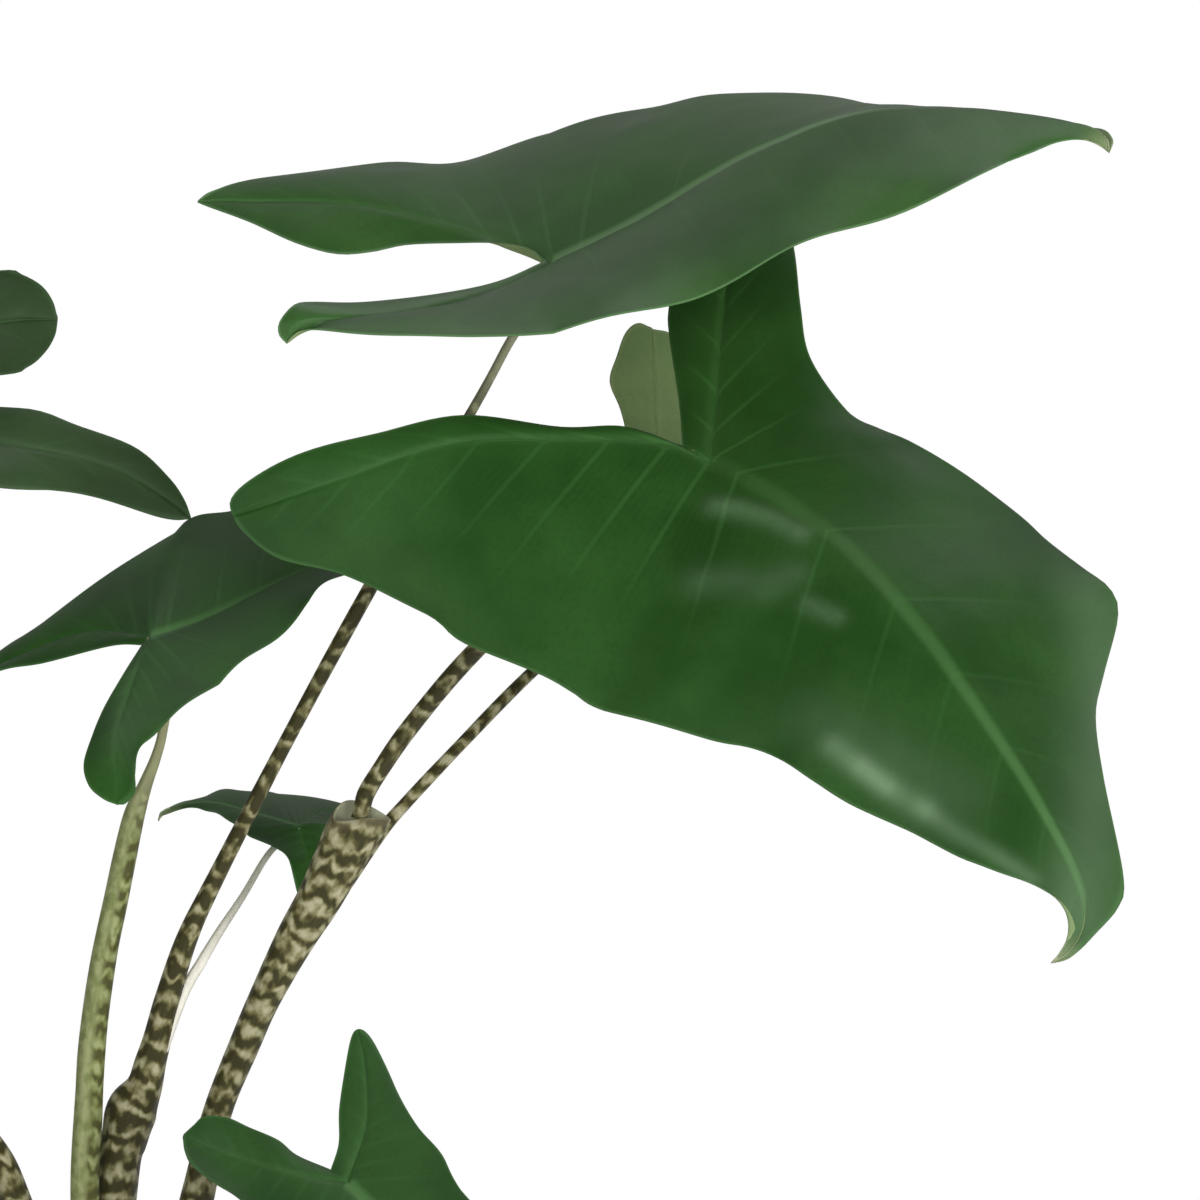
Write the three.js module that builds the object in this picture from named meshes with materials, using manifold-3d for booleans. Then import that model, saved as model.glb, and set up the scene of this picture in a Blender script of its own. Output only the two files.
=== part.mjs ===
// A potted Alocasia zebrina: nine arrow-shaped leaves on banded stalks, a corm, soil and a pot.
// Millimetres, +Z up. The origin is the centre of the pot's flat base. +X is the side that most
// leaves lean to, and -Y is the front.
import * as THREE from "three";
import { mergeVertices } from "three/addons/utils/BufferGeometryUtils.js";
import Module from "manifold-3d";

const wasm = await Module();
wasm.setup();

// Driving dimensions
const POT_HEIGHT = 165;
const POT_TOP_RADIUS = 95;
const POT_BASE_RADIUS = 66;
const POT_WALL = 4;
const POT_FLOOR = 6;
const POT_RIM_HEIGHT = 22;
const POT_RIM_PROUD = 4;
const POT_EASE = 1.5;
const POT_SEGMENTS = 40;
const DRAIN_HOLES = 4;
const DRAIN_RADIUS = 4.5;
const DRAIN_RING = 40;
const DRAIN_SIDES = 16;
const DRAIN_DRILL = 3 * POT_FLOOR;

const SOIL_TOP = 148;
const SOIL_MOUND = 6;
const SOIL_MOUND_RADIUS = 60;
// The mound's slope, as shares of its radius and of its height.
const SOIL_MOUND_SLOPE = [[1, 0.3], [0.6, 0.8], [0, 1]];

const CORM_RADIUS = 30;
const CORM_TOP = 158;
const CORM_BOTTOM = 104;
const CORM_SEGMENTS = 24;
const CORM_BANDS = 10;

const FIT_GAP = 0.3;

// A blade's three patches a side: rows along the rib, columns out to the margin, and waves of the margin.
const BLADE_THICKNESS = 0.8;
const FRONT_PATCH = { rows: 12, columns: 4, waves: 3 };
const LOBE_PATCH = { rows: 9, columns: 4, waves: 1 };
const INNER_PATCH = { rows: 9, columns: 2, waves: 0 };
// The power by which a wave grows from the rib to the margin.
const WAVE_GROWTH = 3;

// A stalk has this many rings for each of its points. Its neck thins to a tip under the blade.
const STALK_SIDES = 8;
const STALK_RINGS = 2;
const NECK_LENGTH = 7;
const NECK_TIP_RADIUS = 1;
const SEAT_GAP = 0.8;

const CURVE_TENSION = 0.5;
const CURVE_STEPS = 8;
const MERGE_DISTANCE = 1e-3;
const SHEET_MERGE_DISTANCE = 1e-2;

const LEAF = { color: 0x2f5627, roughness: 0.4 };
const BANDED_STALK = { color: 0xa5a57d, roughness: 0.5 };
const PALE_STALK = { color: 0x8f9e66, roughness: 0.5 };
const CORM_SKIN = { color: 0x6b5238, roughness: 0.8 };
const POTTING_SOIL = { color: 0x33261b, roughness: 0.95 };
const POT_CLAY = { color: 0xb9b4aa, roughness: 0.6 };

// A young stalk that grows out of an older one's sheath stands in a groove there.
const SHEATHED = { small: "top", back: "right" };

// Each leaf is a net of curves through points set by hand, in millimetres from the origin. The midrib
// runs from the junction to the tip. Each side has a rib down its lobe, an outer edge from the leaf's tip
// round to the lobe's tip, whose shoulder point lies opposite the junction, and an inner edge from the
// notch to the lobe's tip. Each stalk point also has the stalk's radius there and, where a sheath is
// flattened, its depth as a share of its width.
const LEAVES = {
  top: {
    junction: [149, 0, 584],
    notch: [147, 0, 585],
    midrib: [
      [178, 0, 599], [216, -4, 621], [251, -8, 635], [291, -18, 637], [318, -28, 635], [330, -33, 631],
      [335, -35, 626], [333, -35, 623],
    ],
    sides: [
      {
        rib: [[126, -38, 576], [96, -68, 571], [70, -83, 571], [63, -85, 563]],
        outer: [
          [321, -36, 627], [301, -44, 621], [282, -56, 613], [238, -64, 597], [209, -70, 584],
          [186, -76, 576], [150, -84, 567], [101, -90, 567], [70, -86, 568], [63, -85, 563],
        ],
        shoulder: 6,
        inner: [
          [131, -25, 579], [112, -45, 577], [88, -62, 576], [70, -76, 576], [61, -84, 572],
          [60, -85, 567], [63, -85, 563],
        ],
      },
      {
        rib: [[118, 30, 594], [80, 60, 600], [45, 72, 600], [28, 75, 600]],
        outer: [
          [313, -15, 629], [286, 22, 628], [259, 44, 633], [237, 56, 636], [204, 70, 638], [181, 78, 631],
          [148, 86, 622], [117, 92, 612], [90, 92, 612], [51, 84, 608], [33, 77, 604], [28, 75, 600],
        ],
        shoulder: 6,
        inner: [
          [131, 15, 587], [118, 28, 588], [100, 40, 588], [76, 46, 584], [62, 52, 585], [46, 63, 593],
          [28, 75, 600],
        ],
      },
    ],
    face: [-0.15, -0.35, 0.92],
    bulge: 0.06,
    wave: 1.5,
    stalk: [
      [0, 4, 146, 7], [0, 4, 215, 7], [3.7, 3, 276, 6.7], [7.3, 3, 293, 7], [10, 3, 303, 6.9],
      [12.8, 2.5, 310, 5.7], [16, 2, 323, 4.5], [20.2, 1, 338, 3.8], [26.8, 0, 358, 3.1],
      [36.3, -1, 378, 2.4], [60.6, -2, 425, 2.1], [86.5, -3, 475, 1.7], [123.3, -4, 535, 1.4],
      [135, -2, 560, 1.4],
    ],
  },
  right: {
    junction: [201, -45, 522],
    notch: [192, -42, 527],
    midrib: [
      [214, -54, 517], [243, -72, 499], [266, -88, 475], [285, -102, 450], [304, -116, 421],
      [318, -124, 395], [321, -126, 381], [313, -127, 369],
    ],
    sides: [
      {
        rib: [[186, -45, 528], [152, -52, 530], [116, -60, 529], [80, -66, 518], [45, -66, 506]],
        outer: [
          [317, -128, 380], [313, -128, 388], [304, -127, 394], [284, -124, 400], [265, -120, 410],
          [245, -114, 418], [223, -106, 432], [199, -100, 437], [166, -92, 445], [145, -86, 456],
          [121, -80, 465], [103, -74, 477], [81, -70, 488], [60, -68, 493], [49, -66, 501],
          [45, -66, 506],
        ],
        shoulder: 8,
        inner: [
          [173, -44, 533], [152, -48, 534], [120, -54, 539], [92, -60, 532], [73, -63, 527],
          [60, -65, 523], [48, -66, 517], [43, -66, 511], [45, -66, 506],
        ],
      },
      {
        rib: [[203, -24, 540], [206, 6, 568], [211, 40, 596], [214, 62, 613]],
        outer: [
          [327, -120, 380], [333, -116, 386], [334, -112, 394], [328, -92, 423], [326, -76, 442],
          [329, -66, 454], [335, -53, 471], [333, -49, 480], [325, -42, 486], [304, -34, 502],
          [271, -26, 524], [247, -18, 536], [235, -4, 552], [232, 10, 568], [230, 28, 587],
          [226, 46, 602], [214, 62, 613],
        ],
        shoulder: 11,
        inner: [
          [191, -22, 540], [188, 0, 560], [188, 10, 569], [192, 34, 590], [201, 54, 605], [214, 62, 613],
        ],
      },
    ],
    face: [-0.1, -0.85, 0.5],
    bulge: 0.05,
    wave: 1.5,
    stalk: [
      [14, -4, 146, 6.5], [17, -4.5, 215, 6.2], [30.5, -5, 272, 5.4], [37.5, -5, 300, 4.5],
      [46.7, -5.5, 323, 4.8], [53.2, -5.5, 338, 4.9], [63.4, -6, 358, 6, 0.75],
      [71.5, -6, 372, 7.2, 0.65], [78, -6, 385, 8.2, 0.6], [83.5, -6, 396, 9.4, 0.5],
      [86, -6.3, 403, 2.9], [91, -7, 414, 2.4], [102, -9, 430, 2.5], [122.7, -14, 455, 2.4],
      [155, -26, 487, 2.2], [182, -35, 507, 2],
    ],
  },
  centre: {
    junction: [16, -15, 461],
    notch: [13, -13, 458],
    midrib: [[33, 5, 465], [58, 35, 475], [83, 65, 484], [106, 95, 489]],
    sides: [
      {
        rib: [[11, -42, 448], [6, -72, 434], [7, -90, 415]],
        outer: [
          [75, 20, 476], [66, 5, 468], [52, -15, 457], [39, -35, 448], [27, -52, 441], [20, -62, 435],
          [13, -70, 431], [13, -84, 421], [7, -90, 415],
        ],
        shoulder: 3,
        inner: [
          [6, -38, 450], [2, -55, 442], [-1, -70, 433], [-3, -80, 426], [0, -87, 419], [7, -90, 415],
        ],
      },
      {
        rib: [[-6, 12, 460], [-29, 18, 451], [-57, 12, 438]],
        outer: [
          [72, 88, 504], [38, 64, 496], [27, 56, 492], [21, 51, 488], [6, 45, 479], [-23, 34, 460],
          [-37, 27, 453], [-57, 12, 438],
        ],
        shoulder: 3,
        inner: [[2, -6, 457], [-21, 6, 450], [-36, 9, 447], [-57, 12, 438]],
      },
    ],
    face: [-0.4, -0.45, 0.8],
    bulge: 0.05,
    wave: 1.5,
    stalk: [
      [-3, -14, 146, 5.5], [-6, -12, 215, 5.2], [-7.2, -10, 272, 4.5], [-5.7, -10, 300, 4.6],
      [-4.3, -10, 326, 4.6], [-0.8, -10, 352, 4.4], [3.5, -10, 372, 4], [7.5, -9.5, 392, 3.6],
      [10, -9, 403, 3.2], [14.5, -9, 411, 1.8], [17, -9, 419, 1.4], [18.8, -9, 438, 1.4],
    ],
  },
  upper_left: {
    junction: [-131, 30, 534],
    notch: [-124, 30, 535],
    midrib: [[-180, 35, 540], [-240, 30, 525], [-290, 15, 490], [-315, 0, 455]],
    sides: [
      {
        rib: [[-83, 15, 529], [-35, 4, 524], [2, 2, 518], [22, 4, 507], [29, 5, 498]],
        outer: [
          [-290, -25, 470], [-240, -45, 500], [-180, -50, 515], [-130, -42, 518], [-80, -25, 516],
          [-35, -8, 513], [-8, -4, 509], [19, 3, 500], [29, 5, 498],
        ],
        shoulder: 3,
        inner: [
          [-80, 24, 536], [-36, 12, 535], [-22, 10, 535], [-10, 8, 531], [9, 6, 525], [24, 5, 513],
          [29, 5, 498],
        ],
      },
      {
        rib: [[-86, 50, 548], [-40, 70, 559], [-19, 72, 560]],
        outer: [
          [-285, 60, 490], [-235, 95, 520], [-180, 110, 540], [-130, 110, 555], [-80, 98, 570],
          [-40, 80, 577], [-25, 76, 573], [-19, 72, 560],
        ],
        shoulder: 3,
        inner: [[-90, 44, 540], [-39, 58, 542], [-24, 62, 549], [-19, 72, 560]],
      },
    ],
    face: [0.1, -0.3, 0.92],
    bulge: 0.06,
    wave: 1.5,
    stalk: [
      [-15, 3, 146, 5.8], [-16, 4, 215, 5.5], [-29, 6, 272, 5.2], [-41, 8, 294, 4.8], [-62, 12, 335, 4],
      [-93, 19, 410, 2.9], [-118, 26, 488, 2.1],
    ],
  },
  small: {
    junction: [63, 37, 391],
    notch: [73, 39, 391],
    midrib: [[48, 52, 393], [34, 68, 395], [22, 77, 394], [14, 80, 389]],
    sides: [
      {
        rib: [[66, 30, 383], [69, 25, 375], [70, 20, 367]],
        outer: [[26, 72, 393], [39, 50, 391], [45, 38, 387], [56, 26, 384], [62, 21, 376], [70, 20, 367]],
        shoulder: 2,
        inner: [[71, 30, 384], [74, 24, 375], [70, 20, 367]],
      },
      {
        rib: [[70, 55, 393], [83, 57, 392], [94, 55, 392]],
        outer: [[24, 84, 394], [37, 90, 397], [54, 90, 395], [79, 72, 394], [94, 55, 392]],
        shoulder: 2,
        inner: [[77, 46, 390], [87, 52, 390], [94, 55, 392]],
      },
    ],
    face: [0, -0.2, 0.95],
    bulge: 0.06,
    wave: 1,
    stalk: [
      [19.5, 2, 322, 1.5], [24.7, 2.5, 338, 1.5], [30, 3.5, 347.5, 1.6], [34.5, 8, 357, 1.5],
      [43, 16, 370, 1.3], [55, 27, 382, 1.2],
    ],
  },
  front: {
    junction: [82, -60, 285],
    notch: [75, -56, 291],
    midrib: [[105, -80, 265], [130, -105, 235], [150, -125, 200], [158, -135, 172]],
    sides: [
      {
        rib: [[64, -60, 288], [46, -52, 291], [28, -44, 297]],
        outer: [
          [150, -140, 190], [128, -138, 212], [103, -120, 232], [78, -88, 252], [64, -72, 264],
          [47, -56, 279], [38, -50, 284], [29, -45, 290], [28, -44, 297],
        ],
        shoulder: 3,
        inner: [[58, -50, 297], [42, -45, 303], [33, -44, 303], [28, -44, 297]],
      },
      {
        rib: [[88, -50, 303], [87, -38, 320], [85, -30, 332]],
        outer: [
          [162, -122, 198], [155, -104, 230], [138, -85, 262], [119, -70, 284], [110, -58, 296],
          [98, -45, 311], [90, -35, 326], [85, -30, 332],
        ],
        shoulder: 3,
        inner: [[79, -55, 297], [80, -46, 312], [83, -36, 325], [85, -30, 332]],
      },
    ],
    face: [-0.1, -0.75, 0.65],
    bulge: 0.05,
    wave: 1.5,
    stalk: [
      [9, -18, 146, 4.8], [12, -20, 190, 4.4], [28, -28, 228, 3.5], [50, -40, 256, 2.6],
      [68, -48, 270, 2],
    ],
  },
  back: {
    junction: [196, 70, 492],
    notch: [201, 72, 500],
    midrib: [[220, 100, 461], [252, 130, 423], [270, 150, 396]],
    sides: [
      {
        rib: [[186, 68, 516], [184, 65, 540], [183, 62, 558]],
        outer: [
          [241, 125, 410], [206, 95, 431], [180, 75, 464], [174, 66, 492], [173, 62, 520], [169, 60, 538],
          [172, 60, 550], [177, 61, 559], [183, 62, 558],
        ],
        shoulder: 3,
        inner: [[196, 70, 522], [196, 67, 543], [190, 64, 555], [183, 62, 558]],
      },
      {
        rib: [[211, 92, 514], [217, 104, 535], [218, 108, 555]],
        outer: [
          [291, 160, 420], [284, 152, 452], [263, 138, 482], [243, 126, 504], [232, 118, 529],
          [218, 108, 555],
        ],
        shoulder: 3,
        inner: [[206, 82, 521], [207, 94, 541], [218, 108, 555]],
      },
    ],
    face: [0.6, 0.7, 0.4],
    bulge: 0.05,
    wave: 1.5,
    stalk: [
      [84.5, -4.5, 384, 1.9], [93, -1, 395, 1.9], [99, 2, 402.5, 1.8], [117, 11, 421.5, 1.7],
      [142, 25, 444, 1.6], [173, 47, 470, 1.6],
    ],
  },
  left: {
    junction: [-140, -50, 400],
    notch: [-133, -44, 405],
    midrib: [[-165, -68, 390], [-195, -90, 355], [-220, -108, 310], [-235, -120, 258]],
    sides: [
      {
        rib: [[-170, -34, 415], [-205, -20, 425], [-238, -8, 425]],
        outer: [
          [-247, -100, 285], [-262, -75, 335], [-255, -55, 375], [-245, -40, 400], [-250, -20, 415],
          [-238, -8, 425],
        ],
        shoulder: 2,
        inner: [[-150, -30, 415], [-180, -15, 432], [-212, -6, 436], [-238, -8, 425]],
      },
      {
        rib: [[-128, -40, 430], [-118, -22, 458], [-110, -5, 482]],
        outer: [
          [-222, -128, 285], [-192, -122, 315], [-152, -105, 345], [-105, -72, 385], [-92, -45, 425],
          [-95, -20, 460], [-110, -5, 482],
        ],
        shoulder: 3,
        inner: [[-134, -32, 430], [-128, -16, 458], [-110, -5, 482]],
      },
    ],
    face: [-0.3, -0.75, 0.6],
    bulge: 0.05,
    wave: 2,
    stalk: [
      [-16, -12, 146, 5.5], [-20, -13, 200, 5.3], [-40, -18, 250, 4.8], [-68, -24, 300, 3.8],
      [-100, -31, 350, 2.8], [-124, -38, 382, 2.1],
    ],
  },
  low_left: {
    junction: [-105, 60, 285],
    notch: [-99, 58, 290],
    midrib: [[-130, 75, 280], [-165, 95, 260], [-195, 112, 228], [-212, 122, 195]],
    sides: [
      {
        rib: [[-92, 38, 292], [-80, 15, 292], [-66, 0, 286]],
        outer: [
          [-212, 100, 215], [-188, 62, 240], [-155, 32, 258], [-118, 8, 268], [-85, -8, 278],
          [-66, 0, 286],
        ],
        shoulder: 3,
        inner: [[-85, 42, 294], [-68, 20, 296], [-66, 0, 286]],
      },
      {
        rib: [[-100, 85, 300], [-90, 112, 312], [-78, 135, 315]],
        outer: [
          [-195, 140, 215], [-165, 148, 250], [-132, 145, 280], [-108, 140, 300], [-92, 145, 312],
          [-78, 135, 315],
        ],
        shoulder: 2,
        inner: [[-88, 75, 302], [-72, 100, 314], [-70, 120, 318], [-78, 135, 315]],
      },
    ],
    face: [-0.3, -0.1, 0.95],
    bulge: 0.06,
    wave: 2,
    stalk: [
      [-8, 18, 146, 5], [-14, 23, 190, 4.6], [-35, 34, 228, 3.8], [-62, 46, 256, 2.8], [-86, 55, 272, 2],
    ],
  },
};

const vector = (values) => new THREE.Vector3(...values);

// Points on a smooth curve through the given ones, close enough to stand for it.
function smooth(points) {
  const curve = new THREE.CatmullRomCurve3(points, false, "catmullrom", CURVE_TENSION);
  return curve.getPoints(CURVE_STEPS * (points.length - 1));
}

// The point a share of the way along a run of points, measured by length.
function along(run, share) {
  const lengths = run.map((p, i) => (i ? p.distanceTo(run[i - 1]) : 0));
  const total = lengths.reduce((sum, length) => sum + length, 0);
  let left = share * total;
  for (let i = 1; i < run.length; i += 1) {
    if (left <= lengths[i] || i === run.length - 1) {
      return run[i - 1].clone().lerp(run[i], Math.min(1, left / lengths[i]));
    }
    left -= lengths[i];
  }
  return run[run.length - 1].clone();
}

// A patch of blade between a rib and an edge that meet at their far ends. The blade rises between them by
// a share of its width there, and waves towards the edge.
function patch(rib, edge, { rows, columns, waves }, leaf) {
  const face = vector(leaf.face).normalize();
  const grid = [];
  for (let i = 0; i <= rows; i += 1) {
    const share = i / rows;
    const from = along(rib, share);
    const to = along(edge, share);
    const width = from.distanceTo(to);
    const row = [];
    for (let j = 0; j <= columns; j += 1) {
      const out = j / columns;
      const rise = leaf.bulge * width * 4 * out * (1 - out);
      const ripple = leaf.wave * out ** WAVE_GROWTH * Math.sin(2 * Math.PI * waves * share);
      row.push(from.clone().lerp(to, out).addScaledVector(face, rise + ripple));
    }
    grid.push(row);
  }
  return grid;
}

function patchTriangles(grid, turned) {
  const triangles = [];
  for (let i = 0; i + 1 < grid.length; i += 1) {
    for (let j = 0; j + 1 < grid[i].length; j += 1) {
      const [a, b, c, d] = [grid[i][j], grid[i + 1][j], grid[i + 1][j + 1], grid[i][j + 1]];
      triangles.push(turned ? [a, c, b] : [a, b, c], turned ? [a, d, c] : [a, c, d]);
    }
  }
  return triangles;
}

// The leaf's thin sheet, before it has a thickness.
function sheetTriangles(leaf) {
  const junction = vector(leaf.junction);
  const notch = vector(leaf.notch);
  const midrib = smooth([junction, ...leaf.midrib.map(vector)]);
  const tip = vector(leaf.midrib[leaf.midrib.length - 1]);
  return leaf.sides.flatMap((side, index) => {
    const outer = smooth([tip, ...side.outer.map(vector)]);
    const split = CURVE_STEPS * (side.shoulder + 1);
    const towardsTip = outer.slice(0, split + 1).reverse();
    const towardsLobe = outer.slice(split);
    const rib = smooth([junction, ...side.rib.map(vector)]);
    const inner = smooth([notch, ...side.inner.map(vector)]);
    return [
      ...patchTriangles(patch(midrib, towardsTip, FRONT_PATCH, leaf), index === 0),
      ...patchTriangles(patch(rib, towardsLobe, LOBE_PATCH, leaf), index === 1),
      ...patchTriangles(patch(rib, inner, INNER_PATCH, leaf), index === 0),
    ];
  });
}

// A geometry's triangles, without those that merging its vertices made a line.
function soundTriangles(geometry) {
  const sound = [];
  for (let i = 0; i < geometry.index.count; i += 3) {
    const [a, b, c] = [0, 1, 2].map((k) => geometry.index.getX(i + k));
    if (a !== b && b !== c && c !== a) {
      sound.push(a, b, c);
    }
  }
  return sound;
}

function indexed(triangles) {
  const positions = triangles.flat().flatMap((p) => [p.x, p.y, p.z]);
  const geometry = new THREE.BufferGeometry();
  geometry.setAttribute("position", new THREE.Float32BufferAttribute(positions, 3));
  const merged = mergeVertices(geometry, SHEET_MERGE_DISTANCE);
  merged.setIndex(soundTriangles(merged));
  merged.computeVertexNormals();
  return merged;
}

// A sheet given its thickness: both faces split alike, and a rim along every edge that has a face on one
// side only.
function thicken(sheet, thickness) {
  const at = sheet.getAttribute("position");
  const normals = sheet.getAttribute("normal");
  const index = Array.from(sheet.index.array);
  const count = at.count;
  const positions = [];
  for (const offset of [thickness / 2, -thickness / 2]) {
    for (let i = 0; i < count; i += 1) {
      const normal = new THREE.Vector3().fromBufferAttribute(normals, i);
      const point = new THREE.Vector3().fromBufferAttribute(at, i).addScaledVector(normal, offset);
      positions.push(point.x, point.y, point.z);
    }
  }
  const edges = new Map();
  const solid = [];
  for (let i = 0; i < index.length; i += 3) {
    const corners = index.slice(i, i + 3);
    solid.push(corners[0], corners[1], corners[2]);
    solid.push(corners[0] + count, corners[2] + count, corners[1] + count);
    corners.forEach((a, k) => {
      const b = corners[(k + 1) % 3];
      if (!edges.delete(`${b} ${a}`)) {
        edges.set(`${a} ${b}`, [a, b]);
      }
    });
  }
  for (const [a, b] of edges.values()) {
    solid.push(b, a, a + count, b, a + count, b + count);
  }
  const geometry = new THREE.BufferGeometry();
  geometry.setAttribute("position", new THREE.Float32BufferAttribute(positions, 3));
  geometry.setIndex(solid);
  return geometry;
}

function bladeGeometry(leaf) {
  return thicken(indexed(sheetTriangles(leaf)), BLADE_THICKNESS);
}

// The blade's own upward direction at its junction, where the stalk meets it.
function seatNormal(leaf) {
  const sheet = indexed(sheetTriangles(leaf));
  const at = sheet.getAttribute("position");
  const junction = vector(leaf.junction);
  let nearest = 0;
  let least = Infinity;
  for (let i = 0; i < at.count; i += 1) {
    const distance = new THREE.Vector3().fromBufferAttribute(at, i).distanceTo(junction);
    if (distance < least) {
      nearest = i;
      least = distance;
    }
  }
  const normal = new THREE.Vector3().fromBufferAttribute(sheet.getAttribute("normal"), nearest);
  return normal.multiplyScalar(Math.sign(normal.dot(vector(leaf.face))));
}

// A geometry with only its positions, and its doubled vertices merged.
function merged(geometry) {
  geometry.deleteAttribute("normal");
  geometry.deleteAttribute("uv");
  return mergeVertices(geometry, MERGE_DISTANCE);
}

// A stalk: a cylinder bent along its curve, with its own radius at each ring, grown by extra all round.
function stalkGeometry(leaf, extra = 0) {
  const seat = seatNormal(leaf);
  const neckRadius = leaf.stalk[leaf.stalk.length - 1][3];
  const points = leaf.stalk.map(([x, y, z]) => new THREE.Vector3(x, y, z));
  for (const drop of [NECK_LENGTH, BLADE_THICKNESS / 2 + SEAT_GAP]) {
    points.push(vector(leaf.junction).addScaledVector(seat, -drop));
  }
  const sizes = leaf.stalk.map(([, , , radius, depth = 1]) => new THREE.Vector3(radius, depth, 0));
  sizes.push(new THREE.Vector3(neckRadius, 1, 0), new THREE.Vector3(NECK_TIP_RADIUS, 1, 0));
  const path = new THREE.CatmullRomCurve3(points, false, "catmullrom", CURVE_TENSION);
  const profile = new THREE.CatmullRomCurve3(sizes, false, "catmullrom", CURVE_TENSION);
  const rings = STALK_RINGS * (points.length - 1);
  const stalk = new THREE.CylinderGeometry(1, 1, 1, STALK_SIDES, rings);
  const frames = [];
  let across = new THREE.Vector3(1, 0, 0);
  for (let k = 0; k <= rings; k += 1) {
    const ahead = path.getTangent(k / rings);
    across = across.clone().addScaledVector(ahead, -across.dot(ahead)).normalize();
    const size = profile.getPoint(k / rings);
    frames.push({ centre: path.getPoint(k / rings), across, deep: ahead.clone().cross(across), size });
  }
  const at = stalk.getAttribute("position");
  for (let i = 0; i < at.count; i += 1) {
    const frame = frames[Math.round((at.getY(i) + 0.5) * rings)];
    const reach = frame.size.x + extra;
    const offset = frame.across.clone().multiplyScalar(at.getX(i) * reach);
    offset.addScaledVector(frame.deep, -at.getZ(i) * reach);
    offset.y *= frame.size.y;
    const point = offset.add(frame.centre);
    at.setXYZ(i, point.x, point.y, point.z);
  }
  return merged(stalk);
}

// A closed profile of [radius, height] points turned about the pot's axis.
function turned(profile, segments) {
  const outline = profile.map(([radius, height]) => new THREE.Vector2(radius, height));
  const lathe = new THREE.LatheGeometry(outline, segments);
  lathe.rotateX(Math.PI / 2);
  return merged(lathe);
}

function toSolid(geometry) {
  return new wasm.Manifold(new wasm.Mesh({
    numProp: 3,
    vertProperties: new Float32Array(geometry.getAttribute("position").array),
    triVerts: new Uint32Array(soundTriangles(geometry)),
  }));
}

function toGeometry(solid) {
  const mesh = solid.getMesh();
  const geometry = new THREE.BufferGeometry();
  geometry.setAttribute("position", new THREE.BufferAttribute(mesh.vertProperties, 3));
  geometry.setIndex(new THREE.BufferAttribute(mesh.triVerts, 1));
  return geometry;
}

function potOutside(height) {
  return POT_BASE_RADIUS + ((POT_TOP_RADIUS - POT_BASE_RADIUS) * height) / POT_HEIGHT;
}

function potInside(height) {
  return potOutside(height) - POT_WALL;
}

function potGeometry() {
  const underRim = POT_HEIGHT - POT_RIM_HEIGHT;
  const pot = toSolid(turned([
    [0, 0],
    [POT_BASE_RADIUS - POT_EASE, 0],
    [POT_BASE_RADIUS, POT_EASE],
    [potOutside(underRim), underRim],
    [potOutside(underRim) + POT_RIM_PROUD, underRim + POT_EASE],
    [potOutside(POT_HEIGHT) + POT_RIM_PROUD, POT_HEIGHT - POT_EASE],
    [potOutside(POT_HEIGHT) + POT_RIM_PROUD - POT_EASE, POT_HEIGHT],
    [potInside(POT_HEIGHT) + POT_EASE, POT_HEIGHT],
    [potInside(POT_HEIGHT), POT_HEIGHT - POT_EASE],
    [potInside(POT_FLOOR), POT_FLOOR],
    [0, POT_FLOOR],
  ], POT_SEGMENTS));
  const holes = Array.from({ length: DRAIN_HOLES }, (_, k) => {
    const turn = (2 * Math.PI * (k + 0.5)) / DRAIN_HOLES;
    const drill = new THREE.CylinderGeometry(DRAIN_RADIUS, DRAIN_RADIUS, DRAIN_DRILL, DRAIN_SIDES);
    drill.rotateX(Math.PI / 2);
    drill.translate(DRAIN_RING * Math.cos(turn), DRAIN_RING * Math.sin(turn), 0);
    return toSolid(merged(drill));
  });
  return toGeometry(holes.reduce((solid, hole) => solid.subtract(hole), pot));
}

// The corm, an upright swelling that the stalks grow from, with its shoulders just under the soil.
function cormSolid(extra = 0) {
  const middle = (CORM_TOP + CORM_BOTTOM) / 2;
  const half = (CORM_TOP - CORM_BOTTOM) / 2 + extra;
  const profile = Array.from({ length: CORM_BANDS + 1 }, (_, k) => {
    const turn = Math.PI * (k / CORM_BANDS - 0.5);
    return [(CORM_RADIUS + extra) * Math.cos(turn), middle + half * Math.sin(turn)];
  });
  profile[0][0] = 0;
  profile[CORM_BANDS][0] = 0;
  return toSolid(turned(profile, CORM_SEGMENTS));
}

// Soil fills the pot to below its rim, with a low mound round the stalks.
function soilSolid() {
  const low = POT_FLOOR + FIT_GAP;
  return toSolid(turned([
    [0, low],
    [potInside(low) - FIT_GAP, low],
    [potInside(SOIL_TOP) - FIT_GAP, SOIL_TOP],
    ...SOIL_MOUND_SLOPE.map(([out, up]) => [SOIL_MOUND_RADIUS * out, SOIL_TOP + SOIL_MOUND * up]),
  ], POT_SEGMENTS));
}

const plant = new THREE.Group();
plant.name = "potted_alocasia_zebrina";

function addPiece(name, geometry, { color, roughness }) {
  geometry.computeVertexNormals();
  const material = new THREE.MeshStandardMaterial({ color, roughness, metalness: 0 });
  const mesh = new THREE.Mesh(geometry, material);
  mesh.name = name;
  plant.add(mesh);
}

const stalks = {};
const grown = {};
for (const [name, leaf] of Object.entries(LEAVES)) {
  stalks[name] = toSolid(stalkGeometry(leaf));
  grown[name] = toSolid(stalkGeometry(leaf, FIT_GAP));
}
for (const [young, old] of Object.entries(SHEATHED)) {
  stalks[old] = stalks[old].subtract(grown[young]);
}

let corm = cormSolid();
let soil = soilSolid().subtract(cormSolid(FIT_GAP));
for (const name of Object.keys(LEAVES)) {
  if (!(name in SHEATHED)) {
    corm = corm.subtract(grown[name]);
    soil = soil.subtract(grown[name]);
  }
}

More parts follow.
